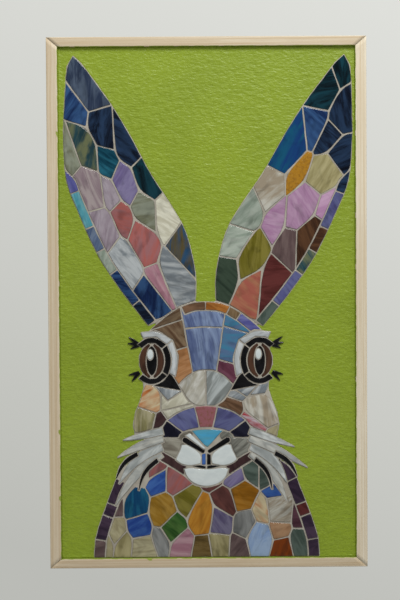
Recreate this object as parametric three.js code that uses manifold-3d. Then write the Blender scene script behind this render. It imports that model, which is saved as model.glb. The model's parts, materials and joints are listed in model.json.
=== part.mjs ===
// A hare in cut glass on a green ground, held in a plain softwood frame and hung on a wall.
// Millimetres. The picture faces -Y, +X is to its right as it is looked at, and +Z is up.
// The origin is where a wall hook bears on the hanger's middle notch.

import * as THREE from 'three';
import { mergeVertices } from 'three/addons/utils/BufferGeometryUtils.js';
import Module from 'manifold-3d';

const wasm = await Module();
wasm.setup();

// The frame and the board that it holds
const PANEL_WIDTH = 300;
const PANEL_HEIGHT = 500;
const FRAME_DEPTH = 22;
const SIDE_RAIL_WIDTH = 10.5;
const END_RAIL_WIDTH = 9;
const BOARD_THICKNESS = 9;
const BOARD_RECESS = 7;
const FIT = 0.3;
const MITRE_GAP = 0.4;

// The layers on the board: grout and green paste, with the glass standing a little proud
const GROUND_THICKNESS = 2.2;
const GROUT_THICKNESS = 2.5;
const GLASS_STANDING = 3.5;

// How the glass is shared out. The middles of two pieces are no nearer to each other than a share of
// their size, and each seed starts one area's own sequence of places.
const JOINT = 1.1;
const FINE_JOINT = 0.8;
const GRINDING = 0.5;
const SMALLEST_TILE = 40;
const NEAREST_SHARE = 0.66;
const NEAREST_VARIES = 0.5;
const SIZE_VARIES = 0.42;
const BORDER_SHARE = 0.27;
const SCATTER_ATTEMPTS = 900;
const LEFT_EAR_SEED = 5;
const RIGHT_EAR_SEED = 17;
const HEAD_SEED = 31;
const CHEST_SEED = 29;

// The hanger in the recess behind the board
const HANGER_DROP = 32;
const HANGER_LENGTH = 46;
const HANGER_HEIGHT = 9;
const HANGER_STEEL = 1;
const HANGER_STAND_OFF = 2.4;
const HANGER_FOOT = 9;
const TOOTH_DEPTH = 2;
const TOOTH_COUNT = 7;
const SCREW_RADIUS = 1.3;
const SCREW_LENGTH = 7;
const SCREW_HEAD_RADIUS = 2.9;
const SCREW_HEAD_HEIGHT = 1.6;
const SCREW_RIM_SHARE = 0.45;
const SCREW_TOP_SHARE = 0.62;
const ROUND_SIDES = 12;

// The figure stands on the bottom rail and fills the opening. It is drawn in millimetres outward from its
// centre line and up from the panel's lower edge, for an opening of the size given here.
const FIGURE_X = -2;
const DRAWN_WIDTH = 279;
const DRAWN_HEIGHT = 482;
const DRAWN_FOOT = 9.3;
const OUTLINE_STEP = 12;
const ARC_STEP = 30;

// A splinter of glass widens by a share from its root to its tip, and runs out to a narrow tip all the same
const SPLINTER_SWELL = 0.3;
const SPLINTER_TAPER = 2.2;
const SPLINTER_TIP = 0.8;

// Each ear, along its own axis from the base to the tip
const EAR_BASE_OUT = 32;
const EAR_BASE_UP = 237;
const EAR_TIP_UP = 483.5;
const LEFT_EAR_TIP_OUT = 123;
const RIGHT_EAR_TIP_OUT = 131.5;
const EAR_STRIP_WIDTH = 9;
const EAR_STRIP_END = 0.62;
const EAR_STRIP_COUNT = 6;
const EAR_TILE_AREA = 700;
const EAR_TILE_STRETCH = 1.8;

// Half widths of an ear at shares of its length, both given as shares of that length
const EAR_OUTER_SIDE = [[0, 0.09], [0.16, 0.139], [0.31, 0.171], [0.5, 0.183], [0.6, 0.18], [0.73, 0.14],
  [0.83, 0.1], [0.95, 0.046], [0.985, 0.025], [1, 0]];
const EAR_INNER_SIDE = [[0, 0.09], [0.115, 0.137], [0.26, 0.157], [0.36, 0.145], [0.51, 0.112],
  [0.67, 0.09], [0.81, 0.062], [0.95, 0.023], [0.985, 0.013], [1, 0]];

// The head's right half, from the crown down to the chin
const HEAD_HALF = [[0, 252], [14, 251], [30, 243.5], [47, 230.5], [59, 218], [63.5, 203], [62.5, 187],
  [58.5, 177], [61, 163], [67, 148], [69.5, 135], [67, 123.5], [52, 107], [36, 97], [21, 87.5], [12, 79],
  [0, 76]];

// The forehead's tiles, in three columns between rays from a point far below, each with its own rings
const FOREHEAD_CENTRE = [0, 118];
const FOREHEAD_RAYS = [-42, -10.5, 8.5, 42];
const FOREHEAD_RINGS = [[54, 93, 119, 144], [60, 110, 150], [58, 80, 112, 150]];
const CROWN_FOOT = 222;
const CROWN_STRIP_WIDTH = 8.5;
const CROWN_STRIP_COUNT = 3;

// The petals on the bridge of the nose
const BRIDGE_HALF = [[-9, 153], [-27, 167], [-19, 180], [-7, 187]];
const BRIDGE_HUB = [0, 131];
const BRIDGE_REACH = 76;
const BRIDGE_PETALS = 2;
const BRIDGE_PETAL_TURN = 32;

// The arch of tiles over the nose
const ARCH_CENTRE = [0, 123];
const ARCH_OUTER = [44.5, 30.5];
const ARCH_INNER = [26, 9.7];
const ARCH_RAYS = [0, 33, 76, 104, 147, 180];

// The right cheek, the side of the muzzle and the dark band along the jaw
const CHEEK = [[14, 130], [10, 160], [24, 184], [80, 184], [80, 100], [50, 118]];
const CHEEK_TILE_AREA = 620;
const MUZZLE_SIDE = [[10, 131], [44, 124], [47, 104], [24, 98]];
const JAW_BAND = [[52, 108], [45, 112], [18, 97], [21, 88], [30, 90]];

// The chest, from the shoulder down to the bottom rail
const CHEST_HALF = [[20, 108], [48, 106], [70, 102], [83, 90], [92, 68], [100, 47], [106, 27], [107, 15]];
const CHEST_STRIP_START = 66;
const CHEST_STRIP_WIDTH = 11;
const CHEST_STRIP_COUNT = 5;
const CHEST_TILE_AREA = 440;
const CHEST_TILE_STRETCH = 1.3;

// The eyes. What is placed on one is measured outward and up from its centre, and turns run from the
// outward side round by the top.
const EYE_OUT = 51;
const EYE_UP = 196;
const PUPIL = [5.1, 14];
const GLINT = [3, 5.2];
const GLINT_RIGHT = -1.4;
const GLINT_UP = 6;
const IRIS = [12.2, 16.7];
const RIM_WIDTH = [5.6, 5.2];
const LID_WIDTH = [6, 5.8];
const IRIS_TURN = 78;
const RIM_TOP_TURN = [44, 137];
const RIM_SIDE_TURN = [140.5, 216];
const RIM_BOTTOM_TURN = [219.5, 312];
const LID_TOP_TURN = [66, 138];
const LID_SIDE_TURN = [140.5, 210];
const TEAR_TURN = [206, 264];
const TEAR_TIP = [-27.5, -28];
const LASH_WIDTH = 4;
const UPPER_LASH_ROOT = [11.4, 15];
const UPPER_LASH_TIPS = [[21.5, 22.5], [22.5, 16.8], [20, 11.5]];
const LOWER_LASH_ROOT = [11.8, -11];
const LOWER_LASH_TIPS = [[22, -13.4], [19, -19.4]];

// The nose and the mouth, drawn for the right side where they are the same on both
const NOSE_TIP = [[-13.5, 129.6], [-6, 130.9], [6, 130.9], [15.5, 129.6], [1.4, 114], [-1.6, 115.4]];
const NOSE_STRIP = [[-15.5, 127.4], [-19.6, 125.2], [-2.8, 112.2], [-0.2, 112.6]];
const NOSTRIL_WIDTH = 5.2;
const NOSTRIL_FROM = [20, 120.8];
const NOSTRIL_TO = [3.9, 110.7];
const NOSTRIL_BLUNTNESS = 40;
const PHILTRUM = [[0.6, 97.4], [4.2, 97.4], [4.2, 107.2], [0.6, 108.2]];
const MUZZLE_PAD = [[5.6, 98.6], [5.6, 107.5], [21, 117.2], [25, 110], [28.5, 101.5], [17, 96.6],
  [5.6, 98.6]];
const MUZZLE_PAD_STEP = 5;
const MOUTH_LINE = [[0.7, 96.2], [5, 97], [13.4, 96.4], [6, 94.1], [0.7, 93.7]];
const CHIN_CENTRE = [0, 93.4];
const CHIN_RADII = [21, 17];
const CHIN_TOP = [[15, 94.6], [0, 92.6], [-15, 94.6]];

// The whiskers: splinters laid close together from beside the muzzle. The dark ones are laid first.
const WHISKERS = [
  { name: 'dark_outer', root: [65, 108], tips: { left: [85.2, 85], right: [86, 85.5] }, width: 5, bow: 8 },
  { name: 'dark_inner', root: [46, 102], tips: { left: [64, 73.5], right: [62, 74] }, width: 4.6, bow: 9 },
  { name: '1', root: [41, 129.5], tips: { left: [78.5, 121], right: [83, 114] }, width: 8, bow: 0 },
  { name: '2', root: [41, 123], tips: { left: [84, 104.5], right: [95.5, 94] }, width: 9.5, bow: 3 },
  { name: '3', root: [42, 115.5], tips: { left: [82.5, 80], right: [76, 80] }, width: 11.5, bow: 11 },
  { name: '4', root: [43, 109], tips: { left: [86, 59], right: [76, 62] }, width: 11, bow: 9 },
];

const INNER_HALF_WIDTH = PANEL_WIDTH / 2 - SIDE_RAIL_WIDTH;
const OPENING_HEIGHT = PANEL_HEIGHT - 2 * END_RAIL_WIDTH;
const ACROSS = (2 * INNER_HALF_WIDTH) / DRAWN_WIDTH;
const UPWARD = OPENING_HEIGHT / DRAWN_HEIGHT;
const FIGURE_FOOT = END_RAIL_WIDTH + FIT;
const BOARD_FACE = -(BOARD_RECESS + BOARD_THICKNESS);
const LAYER_BACK = BOARD_FACE - FIT;
const GROUND_FACE = LAYER_BACK - GROUND_THICKNESS;
const GROUT_FACE = LAYER_BACK - GROUT_THICKNESS;
const GLASS_FACE = LAYER_BACK - GLASS_STANDING;
const HALF_JOINT = JOINT / 2;
const SIDES = [[-1, 'left'], [1, 'right']];

// Points nearer to each other than this are one, and edges that turn less than this run straight on
const SAME_POINT = 0.05;
const STRAIGHT_ON = 0.05;

// Turns in degrees
const QUARTER_TURN = 90;
const HALF_TURN = 180;
const FULL_TURN = 360;

const PALETTE = {
  pine: [0xd9ceba, 0.6, 0],
  plywood: [0xb99a6c, 0.8, 0],
  green_paste: [0x82963c, 0.45, 0],
  grout: [0x8c8a86, 0.5, 0],
  steel: [0xb8bcc0, 0.35, 1],
  black_glass: [0x141412, 0.15, 0],
  white_glass: [0xd4d9d6, 0.2, 0],
  brown_glass: [0x5c3c28, 0.2, 0],
  turquoise_glass: [0x58a4b4, 0.2, 0],
  blue_glass: [0x2350a0, 0.2, 0],
};

function material(kind) {
  const [color, roughness, metalness] = PALETTE[kind];
  return new THREE.MeshStandardMaterial({ color, roughness, metalness });
}

// The same sequence of numbers from 0 to 1 for the same seed
function randomFrom(seed) {
  const [multiplier, increment, range] = [1664525, 1013904223, 2 ** 32];
  let state = seed;
  return () => {
    state = (state * multiplier + increment) % range;
    return state / range;
  };
}

function solidOf(geometry) {
  const bare = geometry.clone();
  bare.deleteAttribute('normal');
  bare.deleteAttribute('uv');
  const merged = mergeVertices(bare);
  return new wasm.Manifold(new wasm.Mesh({
    numProp: 3,
    vertProperties: new Float32Array(merged.attributes.position.array),
    triVerts: new Uint32Array(merged.index.array),
  }));
}

function meshOf(name, solid, kind) {
  const data = solid.getMesh();
  const geometry = new THREE.BufferGeometry();
  geometry.setAttribute('position', new THREE.BufferAttribute(new Float32Array(data.vertProperties), 3));
  geometry.setIndex(new THREE.BufferAttribute(new Uint32Array(data.triVerts), 1));
  geometry.computeVertexNormals();
  const mesh = new THREE.Mesh(geometry, material(kind));
  mesh.name = name;
  return mesh;
}

// An outline less the points that lie on the one before them
function distinct(outline) {
  return outline.filter(([x, z], index) => {
    const [beforeX, beforeZ] = outline.at(index - 1);
    return Math.hypot(x - beforeX, z - beforeZ) > SAME_POINT;
  });
}

// An outline in the picture's plane, made solid from its back to its front
function slab(outline, back, front) {
  const shape = new THREE.Shape(distinct(outline).map(([x, z]) => new THREE.Vector2(x, z)));
  const geometry = new THREE.ExtrudeGeometry(shape, { depth: back - front, bevelEnabled: false });
  geometry.rotateX(Math.PI / 2);
  geometry.translate(0, back, 0);
  return solidOf(geometry);
}

function joined(solids) {
  return solids.reduce((whole, solid) => whole.add(solid));
}

function largest(solid) {
  const bodies = solid.decompose();
  return bodies.reduce((best, body) => (body.volume() > best.volume() ? body : best));
}

function box(size, centre) {
  const geometry = new THREE.BoxGeometry(...size);
  geometry.translate(...centre);
  return solidOf(geometry);
}

function pin(radius, from, to, x, z) {
  const geometry = new THREE.CylinderGeometry(radius, radius, Math.abs(to - from), ROUND_SIDES);
  geometry.translate(x, (from + to) / 2, z);
  return solidOf(geometry);
}

// Outlines

function signedArea(outline) {
  return outline.reduce((sum, [x, z], index) => {
    const [nextX, nextZ] = outline[(index + 1) % outline.length];
    return sum + (x * nextZ - nextX * z) / 2;
  }, 0);
}

function anticlockwise(outline) {
  return signedArea(outline) < 0 ? [...outline].reverse() : outline;
}

function middle(outline) {
  const sum = outline.reduce(([x, z], point) => [x + point[0], z + point[1]], [0, 0]);
  return sum.map((value) => value / outline.length);
}

// The outline moved outward by a distance, or inward by a negative one, with its corners mitred.
// An edge that would turn round is left out, and its neighbours meet instead.
function offset(outline, distance) {
  let points = distinct(anticlockwise(outline));
  for (;;) {
    const count = points.length;
    const edges = points.map(([x, z], index) => {
      const [nextX, nextZ] = points[(index + 1) % count];
      const length = Math.hypot(nextX - x, nextZ - z);
      const direction = [(nextX - x) / length, (nextZ - z) / length];
      return { direction, start: [x + direction[1] * distance, z - direction[0] * distance] };
    });
    const corners = edges.map((edge, index) => meeting(edges[(index + count - 1) % count], edge));
    const turned = edges.findIndex(({ direction }, index) => {
      const from = corners[index];
      const to = corners[(index + 1) % count];
      return (to[0] - from[0]) * direction[0] + (to[1] - from[1]) * direction[1] < 0;
    });
    if (turned < 0 || count < 4) {
      return corners;
    }
    const next = (turned + 1) % count;
    const shared = middle([points[turned], points[next]]);
    points = points.map((point, index) => (index === turned ? shared : point));
    points.splice(next, 1);
  }
}

function meeting(first, second) {
  const cross = first.direction[0] * second.direction[1] - first.direction[1] * second.direction[0];
  if (Math.abs(cross) < STRAIGHT_ON) {
    return second.start;
  }
  const gapX = second.start[0] - first.start[0];
  const gapZ = second.start[1] - first.start[1];
  const along = (gapX * second.direction[1] - gapZ * second.direction[0]) / cross;
  return [first.start[0] + first.direction[0] * along, first.start[1] + first.direction[1] * along];
}

// Points at even steps along a smooth curve through the given ones
function smooth(points, step) {
  const curve = new THREE.SplineCurve(points.map(([x, z]) => new THREE.Vector2(x, z)));
  const count = Math.max(2, Math.round(curve.getLength() / step));
  return curve.getSpacedPoints(count).map(({ x, y }) => [x, y]);
}

// An outline of the drawing, set in its place on the right of the panel's figure or mirrored on its left
function drawn(outline, side) {
  return outline.map(([out, up]) => (
    [FIGURE_X + side * out * ACROSS, FIGURE_FOOT + (up - DRAWN_FOOT) * UPWARD]
  ));
}

function arc([centreX, centreZ], [radiusX, radiusZ], from, to) {
  const count = Math.max(2, Math.round(Math.abs(to - from) / ARC_STEP));
  return Array.from({ length: count + 1 }, (unused, index) => {
    const angle = THREE.MathUtils.degToRad(from + (to - from) * (index / count));
    return [centreX + radiusX * Math.cos(angle), centreZ + radiusZ * Math.sin(angle)];
  });
}

function oval(centre, radii) {
  return arc(centre, radii, 0, FULL_TURN).slice(0, -1);
}

function ringPiece(centre, inner, outer, from, to) {
  return [...arc(centre, outer, from, to), ...arc(centre, inner, to, from)];
}

function grown([across, up], [moreAcross, moreUp]) {
  return [across + moreAcross, up + moreUp];
}

// A bar with one round end and one blunt one, as wide as it is told to be
function bar(from, to, width) {
  const turn = THREE.MathUtils.radToDeg(Math.atan2(to[1] - from[1], to[0] - from[0]));
  const radii = [width / 2, width / 2];
  const round = arc(from, radii, turn + QUARTER_TURN, turn + QUARTER_TURN + HALF_TURN);
  return [...round, ...arc(to, radii, turn - NOSTRIL_BLUNTNESS, turn + NOSTRIL_BLUNTNESS)];
}

// A long bowed splinter of glass that keeps its width at first and then runs out to a point
function splinter(root, tip, width, bow) {
  const [gapX, gapZ] = [tip[0] - root[0], tip[1] - root[1]];
  const length = Math.hypot(gapX, gapZ);
  const [middleX, middleZ] = middle([root, tip]);
  const bend = [middleX - (gapZ / length) * bow, middleZ + (gapX / length) * bow];
  const curve = new THREE.QuadraticBezierCurve(new THREE.Vector2(...root), new THREE.Vector2(...bend),
    new THREE.Vector2(...tip));
  const steps = Math.max(2, Math.round(length / OUTLINE_STEP));
  const shares = Array.from({ length: steps + 1 }, (unused, index) => index / steps);
  const edge = (sign) => shares.map((share) => {
    const { x, y } = curve.getPoint(share);
    const along = curve.getTangent(share);
    const full = width * (1 - share ** SPLINTER_TAPER) * (1 + SPLINTER_SWELL * (share - 0.5));
    const half = (sign * Math.max(SPLINTER_TIP, full)) / 2;
    return [x - along.y * half, y + along.x * half];
  });
  return [...edge(1), ...edge(-1).reverse()];
}

// Sharing out glass

// The part of an outline where a signed distance isn't below nothing
function halved(outline, distance) {
  return outline.flatMap((point, index) => {
    const next = outline[(index + 1) % outline.length];
    const [here, there] = [distance(point), distance(next)];
    const kept = here >= 0 ? [point] : [];
    if (here >= 0 === there >= 0) {
      return kept;
    }
    const share = here / (here - there);
    return [...kept, point.map((value, axis) => value + (next[axis] - value) * share)];
  });
}

// The part of an outline that lies in a convex one
function clipped(outline, convex) {
  const window = anticlockwise(convex);
  return window.reduce((rest, [x, z], index) => {
    const [nextX, nextZ] = window[(index + 1) % window.length];
    return halved(rest, ([pointX, pointZ]) => (nextX - x) * (pointZ - z) - (nextZ - z) * (pointX - x));
  }, outline);
}

function distanceTo(outline, [x, z]) {
  return Math.min(...outline.map(([fromX, fromZ], index) => {
    const [toX, toZ] = outline[(index + 1) % outline.length];
    const [runX, runZ] = [toX - fromX, toZ - fromZ];
    const share = ((x - fromX) * runX + (z - fromZ) * runZ) / (runX ** 2 + runZ ** 2);
    const nearest = THREE.MathUtils.clamp(share, 0, 1);
    return Math.hypot(fromX + runX * nearest - x, fromZ + runZ * nearest - z);
  }));
}

function isWithin(outline, [x, z]) {
  const crossings = outline.filter(([fromX, fromZ], index) => {
    const [toX, toZ] = outline[(index + 1) % outline.length];
    return fromZ > z !== toZ > z && x < fromX + ((toX - fromX) * (z - fromZ)) / (toZ - fromZ);
  });
  return crossings.length % 2 === 1;
}

// Places for the middles of pieces of about the given area, scattered over an outline
function scattered(outline, area, random) {
  const size = Math.sqrt(area);
  const spans = [0, 1].map((axis) => {
    const values = outline.map((point) => point[axis]);
    return [Math.min(...values), Math.max(...values)];
  });
  const places = [];
  for (let attempt = 0; attempt < SCATTER_ATTEMPTS; attempt += 1) {
    const place = spans.map(([lowest, highest]) => THREE.MathUtils.lerp(lowest, highest, random()));
    const nearest = size * (NEAREST_SHARE + NEAREST_VARIES * random());
    const isClear = places.every((other) => Math.hypot(place[0] - other[0], place[1] - other[1]) > nearest);
    if (isClear && isWithin(outline, place) && distanceTo(outline, place) > size * BORDER_SHARE) {
      places.push(place);
    }
  }
  return places;
}

// An outline shared out in straight-sided pieces of uneven size round scattered places. A stretch over 1
// makes them long along the lie: the outline is turned to it and drawn in along it, and the pieces are
// drawn out again.
function sharedOut(outline, area, lie, stretch, random) {
  const [cos, sin, draw] = [Math.cos(lie), Math.sin(lie), Math.sqrt(stretch)];
  const drawnIn = outline.map(([x, z]) => [(x * cos + z * sin) / draw, (z * cos - x * sin) * draw]);
  const pulled = ([x, z]) => ({ x, z, pull: area * SIZE_VARIES * random() });
  const places = scattered(drawnIn, area, random).map(pulled);
  const distance = (place, [x, z]) => (x - place.x) ** 2 + (z - place.z) ** 2 - place.pull;
  return places.map((place) => {
    const others = places.filter((other) => other !== place);
    const piece = others.reduce((rest, other) => (
      halved(rest, (point) => distance(other, point) - distance(place, point))
    ), drawnIn);
    return piece.map(([along, across]) => (
      [along * draw * cos - (across / draw) * sin, along * draw * sin + (across / draw) * cos]
    ));
  });
}

// Tiles laid side by side between two lines of points with as many points each
function course(outerLine, innerLine, count) {
  const last = outerLine.length - 1;
  return Array.from({ length: count }, (unused, index) => {
    const from = Math.round((last * index) / count);
    const to = Math.round((last * (index + 1)) / count);
    return [...outerLine.slice(from, to + 1), ...innerLine.slice(from, to + 1).reverse()];
  });
}

// A line of points moved sideways by a distance
function sidestep(line, distance) {
  return line.map(([x, z], index) => {
    const before = line[Math.max(0, index - 1)];
    const after = line[Math.min(line.length - 1, index + 1)];
    const share = distance / Math.hypot(after[0] - before[0], after[1] - before[1]);
    return [x + (after[1] - before[1]) * share, z - (after[0] - before[0]) * share];
  });
}

// Tiles in the order in which they claim their place: a later one gives way to those before it
function laidTiles(groups, limit) {
  let taken = keptClear;
  const laid = [];
  groups.forEach((tiles) => {
    const group = tiles.filter((outline) => Math.abs(signedArea(outline)) > SMALLEST_TILE);
    group.forEach((outline) => {
      const tile = slab(offset(outline, -HALF_JOINT), LAYER_BACK, GLASS_FACE);
      const pieces = tile.intersect(limit).subtract(taken).decompose();
      laid.push(...pieces.filter((piece) => piece.volume() > SMALLEST_TILE * GLASS_STANDING));
    });
    const claimed = group.map((outline) => slab(offset(outline, HALF_JOINT), LAYER_BACK, GLASS_FACE));
    taken = joined([taken, ...claimed]);
  });
  return joined(laid);
}

// The pieces that have a name of their own, as outlines

function eyePieces(side, sideName) {
  const centre = [EYE_OUT, EYE_UP];
  const place = ([out, up]) => [EYE_OUT + out, EYE_UP + up];
  const fine = [FINE_JOINT, FINE_JOINT];
  const rimInner = grown(IRIS, fine);
  const rimOuter = grown(rimInner, RIM_WIDTH);
  const lidInner = grown(rimOuter, fine);
  const lidOuter = grown(lidInner, LID_WIDTH);
  const pupilGap = grown(PUPIL, fine);
  const lashes = (root, tips) => tips.map((tip) => splinter(place(root), place(tip), LASH_WIDTH, 0));
  const iris = (from, to) => [ringPiece(centre, pupilGap, IRIS, from, to)];
  const rim = (turns) => [ringPiece(centre, rimInner, rimOuter, ...turns)];
  const lid = (turns) => [ringPiece(centre, lidInner, lidOuter, ...turns)];
  const pieces = [
    ['glint', [oval(place([side * GLINT_RIGHT, GLINT_UP]), GLINT)], 'white_glass'],
    ['pupil', [oval(centre, PUPIL)], 'black_glass'],
    ['iris_outer', iris(-IRIS_TURN, IRIS_TURN), 'brown_glass'],
    ['iris_inner', iris(HALF_TURN - IRIS_TURN, HALF_TURN + IRIS_TURN), 'brown_glass'],
    ['rim_top', rim(RIM_TOP_TURN), 'black_glass'],
    ['rim_side', rim(RIM_SIDE_TURN), 'black_glass'],
    ['rim_bottom', rim(RIM_BOTTOM_TURN), 'black_glass'],
    ['lid_top', lid(LID_TOP_TURN), 'white_glass'],
    ['lid_side', lid(LID_SIDE_TURN), 'white_glass'],
    ['tear_wedge', [[...arc(centre, lidInner, ...TEAR_TURN), place(TEAR_TIP)]], 'black_glass'],
    ['lashes_upper', lashes(UPPER_LASH_ROOT, UPPER_LASH_TIPS), 'black_glass'],
    ['lashes_lower', lashes(LOWER_LASH_ROOT, LOWER_LASH_TIPS), 'black_glass'],
  ];
  return pieces.map(([name, outlines, kind]) => ({
    name: `${sideName}_eye_${name}`,
    outlines: outlines.map((outline) => drawn(outline, side)),
    kind,
  }));
}

function single(name, outline, kind, side = 1) {
  return { name, outlines: [drawn(outline, side)], kind };
}

// The same outline on both sides of the centre line
function pairOf(name, outline, kind) {
  return SIDES.map(([side, sideName]) => single(`${sideName}_${name}`, outline, kind, side));
}

function mouthPieces() {
  const pad = smooth(MUZZLE_PAD, MUZZLE_PAD_STEP).slice(0, -1);
  const chin = [...arc(CHIN_CENTRE, CHIN_RADII, HALF_TURN, FULL_TURN), ...smooth(CHIN_TOP, OUTLINE_STEP)];
  return [
    single('nose_tip', NOSE_TIP, 'turquoise_glass'),
    single('nose_strip', NOSE_STRIP, 'white_glass'),
    ...pairOf('nostril', bar(NOSTRIL_FROM, NOSTRIL_TO, NOSTRIL_WIDTH), 'black_glass'),
    single('philtrum_left', PHILTRUM, 'blue_glass', -1),
    single('philtrum_right', PHILTRUM, 'black_glass'),
    ...pairOf('muzzle_pad', pad, 'white_glass'),
    ...pairOf('mouth_line', MOUTH_LINE, 'black_glass'),
    single('chin', chin, 'white_glass'),
  ];
}

function whiskerPieces(side, sideName) {
  return WHISKERS.map(({ name, root, tips, width, bow }) => {
    const kind = name.startsWith('dark') ? 'black_glass' : 'white_glass';
    return single(`${sideName}_whisker_${name}`, splinter(root, tips[sideName], width, bow), kind, side);
  });
}

const named = [
  ...SIDES.flatMap(([side, sideName]) => eyePieces(side, sideName)),
  ...mouthPieces(),
  ...SIDES.flatMap(([side, sideName]) => whiskerPieces(side, sideName)),
];

// Named pieces swollen by a distance all round
function swollen(pieces, distance, back, front) {
  return joined(pieces.flatMap(({ outlines }) => outlines.map((outline) => (
    slab(offset(outline, distance), back, front)
  ))));
}

// The space inside the frame, less a clearance on all four sides
function opening(clearance, front) {
  const across = INNER_HALF_WIDTH - clearance;
  const foot = END_RAIL_WIDTH + clearance;
  const top = PANEL_HEIGHT - END_RAIL_WIDTH - clearance;
  return slab([[-across, foot], [across, foot], [across, top], [-across, top]], LAYER_BACK, front);
}

// Named pieces claim their place in order, and a later one is ground back to clear those before it
function namedMeshes() {
  let taken = null;
  return named.map((piece) => {
    const whole = joined(piece.outlines.map((outline) => slab(outline, LAYER_BACK, GLASS_FACE)));
    const ground = taken ? largest(whole.subtract(taken)) : whole;
    const claimed = swollen([piece], GRINDING, LAYER_BACK, GLASS_FACE);
    taken = taken ? taken.add(claimed) : claimed;
    return meshOf(piece.name, ground, piece.kind);
  });
}

const pockets = swollen(named, FIT, BOARD_FACE, GLASS_FACE - FIT);
const keptClear = swollen(named, FINE_JOINT, LAYER_BACK, GLASS_FACE);

// The four areas of tiles, each on its own bed of grout

const headHalf = smooth(HEAD_HALF, OUTLINE_STEP);
const headOutline = [...drawn(headHalf, 1), ...drawn(headHalf.slice(1, -1), -1).reverse()];
const chestHalf = smooth(CHEST_HALF, OUTLINE_STEP);
const chestLine = [...chestHalf, [chestHalf.at(-1)[0], DRAWN_FOOT]];
const chestOutline = [...drawn(chestLine, 1), ...drawn(chestLine, -1).reverse()];

function flipped(outline) {
  return outline.map(([x, z]) => [-x, z]);
}

// The bridge is cut into petals that open out from a hub below it
function bridgeTiles() {
  const left = smooth(BRIDGE_HALF, OUTLINE_STEP / 2);
  const outline = [...left, ...flipped(left).reverse()];
  const open = THREE.MathUtils.degToRad(BRIDGE_PETAL_TURN);
  const [hubOut, hubUp] = BRIDGE_HUB;
  const ray = (turn) => [hubOut + BRIDGE_REACH * Math.sin(turn), hubUp + BRIDGE_REACH * Math.cos(turn)];
  return Array.from({ length: BRIDGE_PETALS }, (unused, index) => {
    const turn = (index - (BRIDGE_PETALS - 1) / 2) * open;
    return clipped(outline, [BRIDGE_HUB, ray(turn + open / 2), ray(turn - open / 2)]);
  });
}

function archTiles() {
  return ARCH_RAYS.slice(1).map((to, index) => ringPiece(ARCH_CENTRE, ARCH_INNER, ARCH_OUTER,
    ARCH_RAYS[index], to));
}

function foreheadTiles() {
  return FOREHEAD_RINGS.flatMap((rings, column) => {
    const [from, to] = [column + 1, column].map((ray) => QUARTER_TURN - FOREHEAD_RAYS[ray]);
    return rings.slice(1).map((outer, index) => (
      ringPiece(FOREHEAD_CENTRE, [rings[index], rings[index]], [outer, outer], from, to)
    ));
  });
}

// A strip of tiles along the crown: all of it on the right and its first tile on the left
function crownTiles() {
  const line = headHalf.filter(([out, up]) => up > CROWN_FOOT);
  const strip = course(line, sidestep(line, CROWN_STRIP_WIDTH), CROWN_STRIP_COUNT);
  return [...strip, flipped(strip[0])];
}

function cheekTiles(random) {
  return [(outline) => outline, flipped].flatMap((turn) => [
    turn(JAW_BAND),
    turn(MUZZLE_SIDE),
    ...sharedOut(turn(CHEEK), CHEEK_TILE_AREA, Math.PI / 2, 1, random),
  ]);
}

function headSolid() {
  const ordered = [archTiles(), bridgeTiles(), crownTiles(), foreheadTiles(),
    ...cheekTiles(randomFrom(HEAD_SEED)).map((tile) => [tile])];
  const groups = ordered.map((tiles) => tiles.map((outline) => drawn(outline, 1)));
  const limit = slab(offset(headOutline, -HALF_JOINT), LAYER_BACK, GLASS_FACE);
  const bed = slab(headOutline, LAYER_BACK, GROUT_FACE);
  return largest(bed.add(laidTiles(groups, limit)).subtract(pockets));
}

// An area of tiles on its bed, cut back where the head and the frame are
function bedded(outline, groups) {
  const head = (swell, back, front) => slab(offset(headOutline, swell), back, front);
  const limit = slab(offset(outline, -HALF_JOINT), LAYER_BACK, GLASS_FACE)
    .intersect(opening(FIT + HALF_JOINT, GLASS_FACE))
    .subtract(head(HALF_JOINT + FIT, LAYER_BACK, GLASS_FACE));
  const bed = slab(outline, LAYER_BACK, GROUT_FACE).intersect(opening(FIT, GROUT_FACE));
  const whole = bed.add(laidTiles(groups, limit));
  return largest(whole.subtract(head(FIT, BOARD_FACE, GLASS_FACE - FIT)).subtract(pockets));
}

// An ear's two long edges. A point on them lies at a share along the ear and at a distance across it.
function earLines(side) {
  const tipOut = side < 0 ? LEFT_EAR_TIP_OUT : RIGHT_EAR_TIP_OUT;
  const [runOut, runUp] = [tipOut - EAR_BASE_OUT, EAR_TIP_UP - EAR_BASE_UP];
  const edge = (halfWidths, sign) => smooth(drawn(halfWidths.map(([share, half]) => (
    [EAR_BASE_OUT + runOut * share + runUp * sign * half, EAR_BASE_UP + runUp * share - runOut * sign * half]
  )), side), OUTLINE_STEP);
  const lie = Math.atan2(runUp, side * runOut);
  return { outer: edge(EAR_OUTER_SIDE, 1), inner: edge(EAR_INNER_SIDE, -1), lie };
}

function earOutline(side) {
  const { outer, inner } = earLines(side);
  return [...outer, ...inner.slice(0, -1).reverse()];
}

// The strip of tiles along an ear's outer edge runs out to a point at its upper end
function earSolid(side, seed) {
  const { outer, inner, lie } = earLines(side);
  const stripEnd = Math.round(outer.length * EAR_STRIP_END);
  const stripLine = outer.slice(0, stripEnd);
  const stripInner = sidestep(stripLine, -side * EAR_STRIP_WIDTH).slice(0, -1);
  const strips = course(stripLine, [...stripInner, stripLine.at(-1)], EAR_STRIP_COUNT);
  const rest = [...stripInner, ...outer.slice(stripEnd - 1), ...inner.slice(0, -1).reverse()];
  const pieces = sharedOut(rest, EAR_TILE_AREA, lie, EAR_TILE_STRETCH, randomFrom(seed));
  return bedded(earOutline(side), [strips, pieces]);
}

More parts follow.
